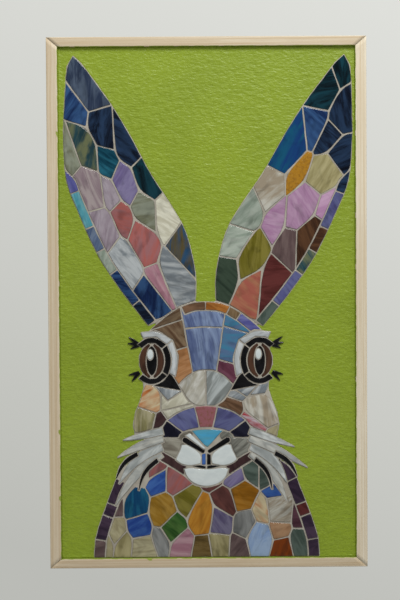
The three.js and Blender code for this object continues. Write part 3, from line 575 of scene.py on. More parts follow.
def add_glass(shell, outline, sheet, rng, lightness, corner=CORNER, nipping=NIPPING, lie=None):
    """One piece of glass in a shell: a slab with a worn arris, a wavy face and a lie to its streaks"""
    seed = rng.uniform(0, WAVE_SEEDS)
    edge = hand_cut(outline, corner, nipping, seed)
    normals = inward(edge)
    room = ARRIS_SHARE * room_inside(edge, normals)
    middle = centre(edge)
    slope = np.array([rng.uniform(-TILE_TILT, TILE_TILT), rng.uniform(-TILE_TILT, TILE_TILT)])
    insets, drops, grimes_and_shades = zip(*ARRIS)
    rings = [edge + normals * np.minimum(inset, room)[:, None] for inset in insets]
    inner = rings[-1]
    spare = face_points(inner, rng)
    flat = np.vstack([inner, spare]) if len(spare) else inner
    count = len(edge)
    loop = [(index, (index + 1) % count) for index in range(count)]
    found = geometry.delaunay_2d_cdt([Vector(point) for point in flat], loop, [], 1, MERGE_GAP)
    face_places = [tuple(place) for place in found[0]]

    points = [(x, LAYER_BACK, z) for x, z in edge]
    # How much each point's colour is darkened: grout haze and painted shade on the arris's slope
    rims = [grimes_and_shades[0]] * count
    for ring, drop, grime_and_shade in zip(rings[:-1], drops, grimes_and_shades):
        points.extend((x, face_depth((x, z), drop, seed, slope, middle), z) for x, z in ring)
        rims.extend([grime_and_shade] * count)
    start = len(points)
    points.extend((x, face_depth((x, z), 0, seed, slope, middle), z) for x, z in face_places)
    rims.extend([grimes_and_shades[-1]] * len(face_places))

    on_ring = {original: index for index, originals in enumerate(found[3]) for original in originals}
    faces = [tuple(range(count))]
    for ring in range(len(rings) - 1):
        base = ring * count
        faces.extend((base + b, base + count + b, base + count + a, base + a) for a, b in loop)
    base = (len(rings) - 1) * count
    faces.extend((base + a, base + b, start + on_ring[b], start + on_ring[a]) for a, b in loop)
    faces.extend(tuple(start + index for index in face) for face in found[2])

    lie = rng.uniform(0, math.pi) if lie is None else lie
    along = np.array((math.cos(lie), math.sin(lie)))
    across = np.array((-along[1], along[0]))
    shift = rng.uniform(0, SHEET_SHIFTS)
    streaks = [(float(along @ (x, z)) / MM, float(across @ (x, z)) / MM, shift) for x, y, z in points]
    light = rng.uniform(*lightness)
    tints = [(*(channel * light for channel in srgb(*tint)[:3]), 1.0) for tint in GLASS[sheet]]
    shell.add(points, faces, OTHER_KINDS.get(sheet, "streaky"), {
        "tint_a": [tints[0]] * len(points),
        "tint_b": [tints[1]] * len(points),
        "streak": streaks,
        "rim": rims,
    })


# Materials

GLASS_SHADE = srgb(150, 150, 150)
RIM_GRIME_AND_SHADE = srgb(140, 136, 130)
GLITTER_DEPTH = srgb(110, 72, 10)
GROUT_PALE = srgb(182, 177, 165)
GROUT_GREY = srgb(163, 157, 145)
GROUT_GRAIN = srgb(132, 124, 110)
LIME = srgb(143, 164, 42)
LIME_DEEP = srgb(132, 153, 31)
# Lump and pit colours of the paste: a painted highlight on the lump crests and painted shade in the pits
LIME_LUMP_HIGHLIGHT = srgb(150, 172, 56)
LIME_PIT_SHADE = srgb(104, 124, 18)
PINE_PALE = srgb(236, 228, 208)
PINE_BAND = srgb(214, 198, 168)
PINE_FIBRE = srgb(196, 176, 142)
PINE_PORE = srgb(156, 132, 100)
PINE_CLOUD = srgb(216, 200, 172)
PINE_SALLOW = srgb(190, 160, 112)
PINE_SMEAR = srgb(146, 160, 66)
PLY_PALE = srgb(200, 172, 128)
PLY_DARK = srgb(176, 143, 98)
PLY_FIBRE = srgb(158, 124, 82)
PLY_PORE = srgb(112, 82, 52)
STEEL_PALE = srgb(186, 190, 194)
STEEL_DARK = srgb(150, 154, 160)


class Nodes:
    """Builds the node tree of a material or of the world with short calls"""

    def __init__(self, owner, shader="Principled BSDF"):
        owner.use_nodes = True
        self.owner = owner
        self.tree = owner.node_tree
        self.shader = self.tree.nodes[shader]

    def make(self, kind, inputs=None, **settings):
        """A node with its settings made and its inputs filled, each with a value or with another's output"""
        node = self.tree.nodes.new(kind)
        for key, value in settings.items():
            setattr(node, key, value)
        for key, value in (inputs or {}).items():
            self.put(node.inputs[key], value)
        return node

    def put(self, socket, value):
        if isinstance(value, bpy.types.NodeSocket):
            self.tree.links.new(value, socket)
        elif value is not None:
            socket.default_value = value

    def attribute(self, name, output="Color"):
        return self.make("ShaderNodeAttribute", attribute_name=name).outputs[output]

    def scaled(self, vector, scale):
        return self.make("ShaderNodeVectorMath", {0: vector, 1: scale}, operation="MULTIPLY").outputs[0]

    def noise(self, vector, scale, detail=3.0, roughness=0.5, distortion=0.0):
        """Cloudy values at a scale, which may differ by axis"""
        if isinstance(scale, tuple):
            vector, scale = self.scaled(vector, scale), 1.0
        inputs = {"Vector": vector, "Scale": scale, "Detail": detail, "Roughness": roughness,
                  "Distortion": distortion}
        return self.make("ShaderNodeTexNoise", inputs).outputs["Fac"]

    def mapped(self, value, low, high, to_low=0.0, to_high=1.0):
        inputs = {"Value": value, "From Min": low, "From Max": high, "To Min": to_low, "To Max": to_high}
        node = self.make("ShaderNodeMapRange", inputs, interpolation_type="SMOOTHSTEP")
        return node.outputs["Result"]

    def math(self, operation, first, second):
        return self.make("ShaderNodeMath", {0: first, 1: second}, operation=operation).outputs[0]

    def mix(self, share, first, second, blend="MIX"):
        inputs = {"Factor": share, 6: first, 7: second}
        return self.make("ShaderNodeMix", inputs, data_type="RGBA", blend_type=blend).outputs[2]

    def over(self, color, second, value, low, high, amount, blend="MIX"):
        """A colour with a second one over it, by up to an amount, as a value goes from low to high"""
        return self.mix(self.mapped(value, low, high, 0.0, amount), color, second, blend)

    def bump(self, height, strength, distance):
        inputs = {"Height": height, "Strength": strength, "Distance": distance}
        return self.make("ShaderNodeBump", inputs).outputs["Normal"]

    def place(self):
        return self.make("ShaderNodeTexCoord").outputs["Object"]

    def finish(self, color, roughness, normal=None, **sockets):
        self.put(self.shader.inputs["Base Color"], color)
        self.put(self.shader.inputs["Roughness"], roughness)
        self.put(self.shader.inputs["Normal"], normal)
        for name, value in sockets.items():
            self.put(self.shader.inputs[name.replace("_", " ")], value)
        return self.owner


made_materials = {}


def once(name, build):
    """A material, built only the first time that it is asked for"""
    if name not in made_materials:
        made_materials[name] = build(Nodes(bpy.data.materials.new(name)))
    return made_materials[name]


def glass_material(kind):
    builders = {"streaky": streaky_glass, "glitter": glitter_glass, "solid": solid_glass}
    return once(f"{kind}_glass", builders[kind])


def streaky_glass(n):
    """Opalescent glass with long wisps of a second colour, drawn out as the sheet was rolled"""
    streak = n.attribute("streak", "Vector")
    wisps = n.noise(streak, (0.017, 0.075, 1.0), 4.0, 0.55, 1.8)
    threads = n.noise(streak, (0.03, 0.42, 1.0), 3.0, 0.6, 0.8)
    depths = n.noise(streak, (0.05, 0.09, 1.0), 2.0, 0.5, 1.0)
    color = n.mix(n.mapped(wisps, 0.38, 0.62), n.attribute("tint_a"), n.attribute("tint_b"))
    color = n.over(color, n.attribute("tint_b"), threads, 0.42, 0.72, 0.4)
    color = n.over(color, GLASS_SHADE, depths, 0.45, 0.75, 0.45, "MULTIPLY")
    # The arris is darkened by its rim amount: grout haze and painted shade on the sloping edge
    color = n.mix(n.math("MULTIPLY", n.attribute("rim", "Fac"), 0.6), color, RIM_GRIME_AND_SHADE, "MULTIPLY")
    ripple = n.noise(streak, (0.1, 0.26, 1.0), 2.0)
    return n.finish(color, n.mapped(wisps, 0.3, 0.7, 0.08, 0.16), n.bump(ripple, 0.3, 0.0005))


def glitter_glass(n):
    """Amber glass full of small bright flakes"""
    streak = n.attribute("streak", "Vector")
    flakes = n.make("ShaderNodeTexVoronoi", {"Vector": n.scaled(streak, (1.6, 1.6, 1.0))})
    sparkle = n.mapped(flakes.outputs["Distance"], 0.36, 0.12)
    color = n.mix(sparkle, n.attribute("tint_a"), n.attribute("tint_b"))
    color = n.over(color, GLITTER_DEPTH, n.noise(streak, 0.35, 2.0), 0.45, 0.7, 0.5)
    return n.finish(color, n.mapped(sparkle, 0.0, 1.0, 0.35, 0.15), n.bump(sparkle, 0.4, 0.0003))


def solid_glass(n):
    """Glass of one colour right through, with a faint unevenness"""
    streak = n.attribute("streak", "Vector")
    clouds = n.noise(streak, (0.09, 0.16, 1.0), 3.0, 0.5, 0.8)
    color = n.mix(n.mapped(clouds, 0.35, 0.65), n.attribute("tint_a"), n.attribute("tint_b"))
    # The arris is darkened by its rim amount: grout haze and painted shade on the sloping edge
    color = n.mix(n.math("MULTIPLY", n.attribute("rim", "Fac"), 0.5), color, RIM_GRIME_AND_SHADE, "MULTIPLY")
    return n.finish(color, 0.1, n.bump(clouds, 0.25, 0.0004))


def grout_material(n):
    place = n.place()
    grains = n.noise(place, 2600.0, 2.0, 0.6)
    stains = n.noise(place, 60.0, 3.0, 0.5)
    color = n.mix(n.mapped(stains, 0.35, 0.65), GROUT_PALE, GROUT_GREY)
    color = n.over(color, GROUT_GRAIN, grains, 0.45, 0.75, 0.35)
    return n.finish(color, 0.92, n.bump(grains, 0.5, 0.0002), Specular_IOR_Level=0.25)


def green_material(n):
    """Lime paste, dragged on sideways with a spatula: lumpy, with a slight gloss"""
    place = n.place()
    lumps = n.noise(n.scaled(place, (0.5, 1.0, 1.0)), 520.0, 2.0, 0.5)
    pimples = n.noise(n.scaled(place, (0.6, 1.0, 1.0)), 1300.0, 2.0, 0.5)
    tone = n.noise(place, 14.0, 4.0, 0.55)
    color = n.mix(n.mapped(tone, 0.3, 0.7), LIME, LIME_DEEP)
    # Painted light on the relief: the lump crests are painted lighter and the pits darker, following the bump
    color = n.over(color, LIME_LUMP_HIGHLIGHT, lumps, 0.4, 0.7, 0.4)
    color = n.over(color, LIME_PIT_SHADE, pimples, 0.5, 0.25, 0.35)
    height = n.math("ADD", lumps, n.math("MULTIPLY", pimples, 0.4))
    return n.finish(color, n.mapped(tone, 0.3, 0.7, 0.36, 0.46), n.bump(height, 0.65, 0.0009))


def pine_material(n):
    """Planed softwood with fine lengthwise grain and a few darker bands, and paste on its inner edge"""
    grain = n.attribute("grain", "Vector")
    bands = n.noise(grain, (0.006, 0.55, 0.55), 3.0, 0.55, 0.35)
    fibres = n.noise(grain, (0.03, 4.5, 4.5), 3.0, 0.6)
    pores = n.noise(grain, (0.12, 9.0, 9.0), 1.0)
    clouds = n.noise(grain, (0.02, 0.05, 0.05), 2.0)
    color = n.mix(n.mapped(bands, 0.35, 0.68), PINE_PALE, PINE_BAND)
    color = n.over(color, PINE_FIBRE, fibres, 0.35, 0.7, 0.4)
    color = n.over(color, PINE_PORE, pores, 0.62, 0.78, 0.35)
    color = n.over(color, PINE_CLOUD, clouds, 0.3, 0.7, 0.3)
    color = n.mix(n.attribute("sallow", "Fac"), color, PINE_SALLOW, "MULTIPLY")
    smear = n.mapped(n.attribute("smear", "Fac"), 0.4, 0.6)
    color = n.mix(smear, color, PINE_SMEAR)
    height = n.math("ADD", fibres, n.math("MULTIPLY", pores, 0.5))
    return n.finish(color, n.mapped(bands, 0.3, 0.7, 0.52, 0.66), n.bump(height, 0.35, 0.0002),
                    Specular_IOR_Level=0.35)


def plywood_material(n):
    place = n.place()
    figure = n.noise(n.scaled(place, (9.0, 9.0, 1.2)), 4.0, 4.0, 0.6, 1.2)
    fibres = n.noise(place, (900.0, 900.0, 14.0), 3.0, 0.6)
    pores = n.noise(place, (1600.0, 1600.0, 90.0), 1.0)
    color = n.mix(n.mapped(figure, 0.35, 0.65), PLY_PALE, PLY_DARK)
    color = n.over(color, PLY_FIBRE, fibres, 0.35, 0.7, 0.5)
    color = n.over(color, PLY_PORE, pores, 0.6, 0.75, 0.5)
    return n.finish(color, 0.74, n.bump(fibres, 0.4, 0.0003), Specular_IOR_Level=0.3)


def steel_material(n):
    place = n.place()
    brushed = n.noise(place, (40.0, 1200.0, 1200.0), 2.0)
    spangle = n.noise(place, 260.0, 2.0)
    color = n.mix(n.mapped(spangle, 0.35, 0.65), STEEL_PALE, STEEL_DARK)
    roughness = n.mapped(brushed, 0.3, 0.7, 0.28, 0.44)
    return n.finish(color, roughness, n.bump(brushed, 0.2, 0.0001), Metallic=1.0)


# The glass of the figure

def on_panel(point):
    """A point of the picture in millimetres, out from the figure's centre line and up from its foot"""
    return (point[0] - FIGURE_X) / MM, (point[1] - PANEL_FOOT) / MM


def named_nodes():
    """The nodes of single pieces in order, each with its sheet"""
    return {node: sheet for node in sorted(NODES) for sheet, endings in NAMED_GLASS.items()
            if node.endswith(tuple(endings.split()))}


def tile_outlines(node):
    loops = [loop for loop in outlines_at(node, GLASS_FACE) if area(loop) > 0]
    return sorted(loops, key=lambda loop: tuple(round(value, ORDER_DIGITS) for value in centre(loop)[::-1]))


def bed_outline(node):
    return max(outlines_at(node, GROUT_FACE), key=area)


def distance_to(outline, point):
    ends = np.roll(outline, -1, axis=0)
    runs = ends - outline
    lengths = np.maximum(np.sum(runs ** 2, axis=1), TINY)
    shares = np.clip(np.sum((point - outline) * runs, axis=1) / lengths, 0, 1)
    return float(np.linalg.norm(outline + runs * shares[:, None] - point, axis=1).min())


def ear_sheets(outline, bed, side):
    """The sheets that a tile of an ear may be cut from, and the place that it shares them in"""
    out, up = on_panel(centre(outline))
    tip = LEFT_EAR_TIP if side < 0 else RIGHT_EAR_TIP
    run = tip - EAR_BASE
    from_base = Vector((side * out, up)) - EAR_BASE
    along = from_base.dot(run) / run.length_squared
    across = (from_base.x * run.y - from_base.y * run.x) / run.length
    border = LEFT_EAR_BORDER if side < 0 else RIGHT_EAR_BORDER
    if across > 0 and distance_to(bed, centre(outline)) < EAR_BORDER and area(outline) < BORDER_TILE:
        return border, "border"
    bands = LEFT_EAR_BANDS if side < 0 else RIGHT_EAR_BANDS
    floor, outer, middle, inner = next(band for band in bands if along > band[0])
    sheets = outer if across > EAR_THIRD else inner if across < -EAR_THIRD else middle
    return sheets, (floor, sheets)


def area_sheets(outline, areas):
    """The sheets of the first box that a tile's middle lies in"""
    out, up = on_panel(centre(outline))
    for left, right, low, high, sheets in areas:
        if left <= out <= right and low <= up <= high:
            return sheets, (left, low, right, high)
    return areas[-1][4], "rest"


def chest_sheets(outline, bed):
    out, up = on_panel(centre(outline))
    at_edge = distance_to(bed, centre(outline)) < CHEST_BORDER and abs(out) > CHEST_SIDE
    if at_edge and area(outline) < BORDER_TILE:
        return (LEFT_CHEST_BORDER, "left border") if out < 0 else (RIGHT_CHEST_BORDER, "right border")
    return area_sheets(outline, CHEST_AREAS)


def make_mosaic_glass(node, rng):
    """All tiles of one area, each cut from its place's sheets, which the place's tiles take in turn"""
    bed = bed_outline(node)
    shell = Shell()
    used = defaultdict(int)
    outlines = tile_outlines(node)
    # The chest's tiles take a darker lightness: painted shade towards the panel's foot
    lightness = CHEST_SHADED_LIGHTNESS if "chest" in node else TILE_LIGHTNESS
    for outline in outlines:
        if "ear" in node:
            sheets, place = ear_sheets(outline, bed, -1 if node.startswith("left") else 1)
        elif "chest" in node:
            sheets, place = chest_sheets(outline, bed)
        else:
            sheets, place = area_sheets(outline, HEAD_AREAS)
        sheets = sheets.split()
        sheet = sheets[used[place] % len(sheets)]
        used[place] += 1
        add_glass(shell, outline, sheet, rng, lightness)
    stands_for(shell.piece(node.replace("mosaic", "glass")), "mosaic", node)
    return outlines


def make_named_glass(node, sheet, rng):
    outlines = [loop for loop in outlines_at(node, GLASS_FACE) if area(loop) > 0]
    shell = Shell()
    for outline in outlines:
        add_glass(shell, outline, sheet, rng, NAMED_LIGHTNESS, FINE_CORNER, FINE_NIPPING, long_way(outline))
    stands_for(shell.piece(f"{node}_glass"), slot_of(node), node)
    return outlines


def long_way(outline):
    """The direction in which an outline is longest"""
    spread = outline - centre(outline)
    values, vectors = np.linalg.eigh(spread.T @ spread)
    return math.atan2(vectors[1, 1], vectors[0, 1])


def slot_of(node):
    return next(entry["material_slot"] for entry in frame["record"]["subparts"] if entry["node"] == node)


# Grout and green paste, as sheets whose height is worked out at each point of a grid

def tree_of(outlines):
    """A search tree of points at small steps along outlines"""
    points = []
    for outline in outlines:
        for start, end in zip(outline, np.roll(outline, -1, axis=0)):
            steps = max(1, int(np.hypot(*(end - start)) / TREE_STEP))
            points.extend(start + (end - start) * index / steps for index in range(steps))
    tree = kdtree.KDTree(len(points))
    for index, (x, z) in enumerate(points):
        tree.insert((x, z, 0), index)
    tree.balance()
    return tree


def signed_distances(points, outlines):
    """How far each point is outside the nearest of some outlines, or inside it where negative"""
    tree = tree_of(outlines)
    inside = np.zeros(len(points), bool)
    for outline in outlines:
        low, high = outline.min(axis=0), outline.max(axis=0)
        near = np.all((points >= low) & (points <= high), axis=1)
        inside[near] |= is_inside(outline, points[near])
    gaps = np.array([tree.find((x, z, 0))[2] for x, z in points])
    return np.where(inside, -gaps, gaps)


def filled_places():
    """The places that grout fills between small pieces: each eye, and each set of whiskers' roots"""
    places = []
    for side in ("left", "right"):
        iris = [outlines_at(f"{side}_eye_iris_{part}", GLASS_FACE) for part in ("outer", "inner")]
        places.append(np.vstack([outline for outlines in iris for outline in outlines]))
        roots = []
        for node in NODES:
            if node.startswith(f"{side}_whisker"):
                outline = max(outlines_at(node, GLASS_FACE), key=area)
                roots.append(outline[np.abs(outline[:, 0] - FIGURE_X) < WHISKER_ROOTS])
        places.append(np.vstack(roots))
    return [place[geometry.convex_hull_2d([Vector(point) for point in place])] for place in places]


def figure_distances(points, tiles, named, beds):
    """Distance outside the grouted figure, distance outside the nearest glass, and which bed is nearest"""
    to_beds = np.stack([signed_distances(points, [bed]) for bed in beds])
    nearest = to_beds.argmin(axis=0)
    ordered = np.sort(to_beds, axis=0)
    to_bed = np.where(ordered[1] < BED_GAP, np.minimum(ordered[0], -BED_GAP_INSIDE), ordered[0])
    to_named = signed_distances(points, named)
    to_glass = np.minimum(signed_distances(points, tiles), to_named)
    outside = np.minimum(np.minimum(to_bed, to_named - GROUT_RIM), signed_distances(points, filled_places()))
    return outside, to_glass, nearest


def grid_over(low, high, step):
    columns = max(2, round((high[0] - low[0]) / step) + 1)
    rows = max(2, round((high[1] - low[1]) / step) + 1)
    x, z = np.meshgrid(np.linspace(low[0], high[0], columns), np.linspace(low[1], high[1], rows))
    return np.stack([x.ravel(), z.ravel()], axis=1), columns, rows


def cells_of(columns, rows):
    """The number of each cell's first grid point"""
    index = np.arange(columns * rows).reshape(rows, columns)
    return index[:-1, :-1].ravel()


def cell_corners(cells, columns):
    """The four grid points round each cell, anticlockwise"""
    return np.stack([cells, cells + 1, cells + columns + 1, cells + columns], axis=1)


def sheet_piece(name, points, depths, kept_cells, columns, material):
    """A closed sheet over the kept cells of a grid, with its face at the given depths and a flat back"""
    corners = cell_corners(kept_cells, columns)
    used, numbers = np.unique(corners, return_inverse=True)
    numbers = numbers.reshape(corners.shape)
    count = len(used)
    front = np.column_stack([points[used, 0], depths[used], points[used, 1]])
    rear = np.column_stack([points[used, 0], np.full(count, LAYER_BACK), points[used, 1]])
    sides = np.concatenate([numbers[:, [a, (a + 1) % 4]] for a in range(4)])
    present = set(map(tuple, sides))
    border = [(a, b) for a, b in present if (b, a) not in present]
    walls = [(a, a + count, b + count, b) for a, b in sorted(border)]
    faces = [*map(tuple, numbers), *map(tuple, numbers[:, ::-1] + count), *walls]
    return mesh_piece(name, [*map(tuple, front), *map(tuple, rear)], faces, [material], len(numbers))


def roughness_at(points, wave, seed, octaves=2):
    places = [Vector((x / wave, z / wave, seed)) for x, z in points]
    return np.array([noise.fractal(place, FRACTAL_ROUGHNESS, FRACTAL_SPREAD, octaves) for place in places])


def make_grout(tiles, named, beds):
    """One bed of grout for each area, all from the same heights, so that they run on into each other"""
    low = np.min([bed.min(axis=0) for bed in beds], axis=0) - GROUT_REACH
    high = np.max([bed.max(axis=0) for bed in beds], axis=0) + GROUT_REACH
    low[1] = PANEL_FOOT + GROUT_FOOT
    points, columns, rows = grid_over(low, high, GROUT_GRID)
    outside, to_glass, nearest = figure_distances(points, tiles, named, beds)
    depth = GLASS_FACE + GROUT_DROP + JOINT_DIP * np.clip(to_glass / JOINT_HALF, 0, 1)
    depth = depth + roughness_at(points, GROUT_WAVE, GROUT_SEED) * GROUT_ROUGHNESS
    depth = depth + np.maximum(-to_glass - UNDER_GLASS, 0) * UNDER_SLOPE
    depth = depth + np.maximum(outside + RIM_START, 0) ** 2 * RIM_CURVE
    depth = np.minimum(depth, LAYER_BACK - THINNEST)
    cells = cells_of(columns, rows)
    inside = (outside[cell_corners(cells, columns)] < GROUT_EDGE).all(axis=1)
    for number, node in enumerate(MOSAICS):
        mine = cells[inside & (nearest[cells] == number)]
        name = node.replace("mosaic", "grout")
        piece = sheet_piece(name, points, depth, mine, columns, once("grout", grout_material))
        stands_for(piece, "mosaic", node)


def make_green(tiles, named, beds):
    """The paste between the figure and the frame, which laps a little way under the figure's edge"""
    low, high = opening()
    points, columns, rows = grid_over(low + GREEN_FRAME_GAP, high - GREEN_FRAME_GAP, GREEN_GRID)
    outside = figure_distances(points, tiles, named, beds)[0]
    wide, tall = GREEN_LUMP
    lumps = roughness_at(points * (tall / wide, 1), tall, GREEN_LUMP_SEED, octaves=3)
    drifts = roughness_at(points, GREEN_DRIFT, GREEN_DRIFT_SEED)
    depth = GREEN_FACE - GREEN_FULLNESS - lumps * GREEN_LUMP_HEIGHT - drifts * GREEN_DRIFT_HEIGHT
    to_frame = np.minimum((points - low).min(axis=1), (high - points).min(axis=1))
    for (height, reach), distance in ((GREEN_FILLET, to_frame), (GREEN_LIP, np.maximum(outside, 0))):
        depth = depth - height * np.exp(-distance / reach)
    laps = GREEN_LAP + roughness_at(points, LAP_WAVE, LAP_SEED) * LAP_VARIES
    depth = depth + np.maximum(-outside - laps, 0) * LAP_SLOPE
    depth = np.minimum(depth, LAYER_BACK - THINNEST)
    cells = cells_of(columns, rows)
    kept = cells[(outside[cell_corners(cells, columns)] > -GREEN_EDGE).any(axis=1)]
    piece = sheet_piece("green_paste", points, depth, kept, columns, once("green", green_material))
    stands_for(piece, "green_paste", "green_ground")


def opening():
    """The lower left and the upper right corner of the space inside the frame"""
    left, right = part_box("frame_rail_left")[1].x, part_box("frame_rail_right")[0].x
    foot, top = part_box("frame_rail_bottom")[1].z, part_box("frame_rail_top")[0].z
    return np.array((left, foot)), np.array((right, top))


# The frame

# Each rail's seed and how sallow its wood is
RAIL_LOOKS = {
    "frame_rail_left": (1, 0.25),
    "frame_rail_right": (2, 0.0),
    "frame_rail_top": (3, 0.3),
    "frame_rail_bottom": (4, 0.35),
}
RAIL_ARRIS = 0.7 * MM
ARRIS_TURNS = (0, 30, 60, 90)
RAIL_STATION = 5 * MM
SECTION_STEP = 2.5 * MM
MITRE_GAP = 0.12 * MM

# How the rails wander, along, across and by depth, how their grain is shifted from rail to rail, and the
# paste that was smeared on their inner edges
RAIL_WANDER = 0.12 * MM
WANDER_WAVE = (60 * MM, 9 * MM)
WANDER_BY_DEPTH = 90
GRAIN_SHIFT = (70, 13)
SMEAR_WAVE = 7 * MM
SMEAR_SEEDS = 5.0
SMEAR_REACH = 0.35 * MM
SMEAR_VARIES = 0.7 * MM
SMEAR_DEPTH = 0.78


def rail_section(width, depth):
    """Points round a rail's section, as (in from the outer edge, out from the wall), with worn arrises"""
    section = []
    near, far, front = RAIL_ARRIS, width - RAIL_ARRIS, depth - RAIL_ARRIS
    for along, out, start in ((near, near, 180), (far, near, 270), (far, front, 0), (near, front, 90)):
        for turn in ARRIS_TURNS:
            angle = math.radians(start + turn)
            section.append((along + RAIL_ARRIS * math.cos(angle), out + RAIL_ARRIS * math.sin(angle)))
    filled = []
    for index, (u, v) in enumerate(section):
        after = section[(index + 1) % len(section)]
        steps = max(1, round(math.dist((u, v), after) / SECTION_STEP))
        filled.extend((u + (after[0] - u) * step / steps, v + (after[1] - v) * step / steps)
                      for step in range(steps))
    return filled


def make_rail(node, corner, run, inward_side, length, width, end_width):
    """A mitred rail, which starts at a corner of the frame and has its width towards the middle"""
    seed, sallow = RAIL_LOOKS[node]
    depth = FRAME_BACK - FRAME_FRONT
    section = rail_section(width, depth)
    stations = max(2, round(length / RAIL_STATION))
    points = []
    grains = []
    smears = []
    for station in range(stations + 1):
        for u, v in section:
            trim = u / width * end_width + MITRE_GAP
            along = trim + (length - 2 * trim) * (station / stations)
            bend = (along / WANDER_WAVE[0], u / WANDER_WAVE[1], seed + v * WANDER_BY_DEPTH)
            wander = noise.noise(Vector(bend)) * RAIL_WANDER
            across = u + wander * (u / width - 0.5)
            place = Vector(corner) + Vector(run) * along + Vector(inward_side) * across
            points.append((place.x, FRAME_BACK - v + (0.5 * wander if v > depth / 2 else 0), place.z))
            grains.append((along / MM + seed * GRAIN_SHIFT[0], u / MM + seed * GRAIN_SHIFT[1], v / MM))
            varies = noise.noise(Vector((along / SMEAR_WAVE, seed * SMEAR_SEEDS, 0))) * SMEAR_VARIES
            is_smeared = v > depth * SMEAR_DEPTH and u > width - varies - SMEAR_REACH
            smears.append(1.0 if is_smeared else 0.0)
    count = len(section)
    faces = []
    for station in range(stations):
        base = station * count
        faces.extend((base + a, base + (a + 1) % count, base + count + (a + 1) % count, base + count + a)
                     for a in range(count))
    faces.append(tuple(range(count))[::-1])
    faces.append(tuple(stations * count + a for a in range(count)))
    pine = [once("pine", pine_material)]
    piece = mesh_piece(node.replace("frame", "pine"), points, faces, pine, len(faces) - 2)
    add_attribute(piece, "grain", "FLOAT_VECTOR", grains)
    add_attribute(piece, "smear", "FLOAT", smears)
    add_attribute(piece, "sallow", "FLOAT", [sallow] * len(points))
    facing_out(piece.data)
    stands_for(piece, "pine", node)


def facing_out(mesh):
    """Turns a closed mesh's faces so that they all look outward"""
    shape = bmesh.new()
    shape.from_mesh(mesh)
    bmesh.ops.recalc_face_normals(shape, faces=shape.faces)
    shape.to_mesh(mesh)
    shape.free()


def make_frame():
    low, high = opening()
    side_width, end_width = low[0] - PANEL_LEFT, low[1] - PANEL_FOOT
    width, height = PANEL_RIGHT - PANEL_LEFT, PANEL_TOP - PANEL_FOOT
    foot_left, foot_right = (PANEL_LEFT, 0, PANEL_FOOT), (PANEL_RIGHT, 0, PANEL_FOOT)
    top_left = (PANEL_LEFT, 0, PANEL_TOP)
    across, up = Vector((1, 0, 0)), Vector((0, 0, 1))
    make_rail("frame_rail_left", foot_left, up, across, height, side_width, end_width)
    make_rail("frame_rail_right", foot_right, up, -across, height, side_width, end_width)
    make_rail("frame_rail_top", top_left, across, -up, width, end_width, side_width)
    make_rail("frame_rail_bottom", foot_left, across, up, width, end_width, side_width)


def finish_back():
    """The board and the hanger keep their own shape"""
    dress("backing_board", once("plywood", plywood_material))
    for node in ("sawtooth_hanger", "hanger_screw_left", "hanger_screw_right"):
        dress(node, once("steel", steel_material))


def dress(node, material):
    piece = NODES[node]
    piece.data.materials.clear()
    piece.data.materials.append(material)


# The room: a pale floor well below, an even sky, and the photograph's camera and light. The camera sees a
# pale wall that grows lighter to one side, and the panel is lit by a sky that is darker behind the camera.

CAMERA_PLACE = Vector((-0.0114, -1.35, -0.1727))
CAMERA_TILT = -1.70
CAMERA_ROLL = -0.343
CAMERA_PAN = -0.184
CAMERA_LENS = 85.0
CAMERA_SENSOR = 36.0
FLOOR_DROP = 1.4
FLOOR_REACH = 3.0
FLOOR_PAINT = srgb(214, 212, 208)
FLOOR_ROUGHNESS = 0.8
WALL_SLOPE = (0.43, 0.0, 1.0)
WALL_SPREAD = 0.25
# The wall that the camera sees is painted with light: paler upwards and to the right, darker to the lower
# left, as a lamp's light falls off across it
WALL_PAINTED_SHADE = srgb(186, 187, 182)
WALL_PAINTED_LIGHT = srgb(224, 225, 220)
BEHIND_CAMERA = (0, -1, 0)
BEHIND_FROM = 0.78
BEHIND_TO = 0.95
SKY = srgb(203, 203, 202)
SKY_BEHIND = srgb(70, 70, 72)
KEY_PLACE = Vector((0.3, -0.78, 0.86))
KEY_TARGET = Vector((0.0, 0.0, -0.02))
KEY_SIZE = 0.5
KEY_POWER = 12.8
KEY_COLOR = (1.0, 0.99, 0.97)


def make_camera():
    data = bpy.data.cameras.new("camera")
    data.sensor_fit = "VERTICAL"
    data.sensor_height = CAMERA_SENSOR
    data.lens = CAMERA_LENS
    camera = placed("camera", data)
    turn = (Matrix.Rotation(math.radians(CAMERA_PAN), 4, "Z")
            @ Matrix.Rotation(math.radians(90 + CAMERA_TILT), 4, "X")
            @ Matrix.Rotation(math.radians(CAMERA_ROLL), 4, "Z"))
    camera.matrix_world = Matrix.Translation(CAMERA_PLACE) @ turn
    bpy.context.scene.camera = camera


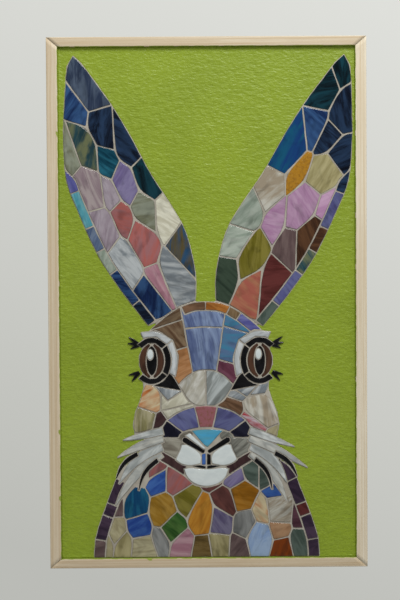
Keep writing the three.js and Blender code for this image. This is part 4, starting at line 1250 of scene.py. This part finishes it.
def make_key_light():
    data = bpy.data.lights.new("key", "AREA")
    data.shape = "DISK"
    data.size = KEY_SIZE
    data.energy = KEY_POWER
    data.color = KEY_COLOR
    light = placed("key", data)
    light.location = KEY_PLACE
    light.rotation_euler = (KEY_TARGET - KEY_PLACE).to_track_quat("-Z", "Y").to_euler()


def share_along(n, axis, low, high):
    """How far the world's direction leans along an axis, as a share of the way from low to high"""
    place = n.make("ShaderNodeTexCoord").outputs["Generated"]
    lean = n.make("ShaderNodeVectorMath", {0: place, 1: axis}, operation="DOT_PRODUCT").outputs["Value"]
    inputs = {"Value": lean, "From Min": low, "From Max": high}
    return n.make("ShaderNodeMapRange", inputs).outputs["Result"]


def make_sky():
    world = bpy.data.worlds.new("pale_room")
    n = Nodes(world, "Background")
    # Painted light: the wall seen by the camera is painted paler upwards and to the right and darker to the
    # lower left
    seen = n.mix(share_along(n, WALL_SLOPE, -WALL_SPREAD, WALL_SPREAD), WALL_PAINTED_SHADE, WALL_PAINTED_LIGHT)
    felt = n.mix(share_along(n, BEHIND_CAMERA, BEHIND_FROM, BEHIND_TO), SKY, SKY_BEHIND)
    is_seen = n.make("ShaderNodeLightPath").outputs["Is Camera Ray"]
    n.put(n.shader.inputs["Color"], n.mix(is_seen, felt, seen))
    bpy.context.scene.world = world
    bpy.context.scene.view_settings.view_transform = "Standard"


def make_floor():
    level = PANEL_FOOT - FLOOR_DROP
    corners = [(FLOOR_REACH * x, FLOOR_REACH * y, level) for x, y in ((-1, -1), (1, -1), (1, 1), (-1, 1))]
    paint = once("pale_floor", lambda n: n.finish(FLOOR_PAINT, FLOOR_ROUGHNESS))
    mesh_piece("floor", corners, [(0, 1, 2, 3)], [paint])


SEED = 7


def main():
    rng = random.Random(SEED)
    tiles = []
    for node in MOSAICS:
        tiles.extend(make_mosaic_glass(node, rng))
    named = []
    for node, sheet in named_nodes().items():
        outlines = make_named_glass(node, sheet, rng)
        if "lashes" not in node:
            named.extend(outlines)
    beds = [bed_outline(node) for node in MOSAICS]
    make_grout(tiles, named, beds)
    make_green(tiles, named, beds)
    make_frame()
    finish_back()
    make_sky()
    make_floor()
    make_key_light()
    make_camera()


main()
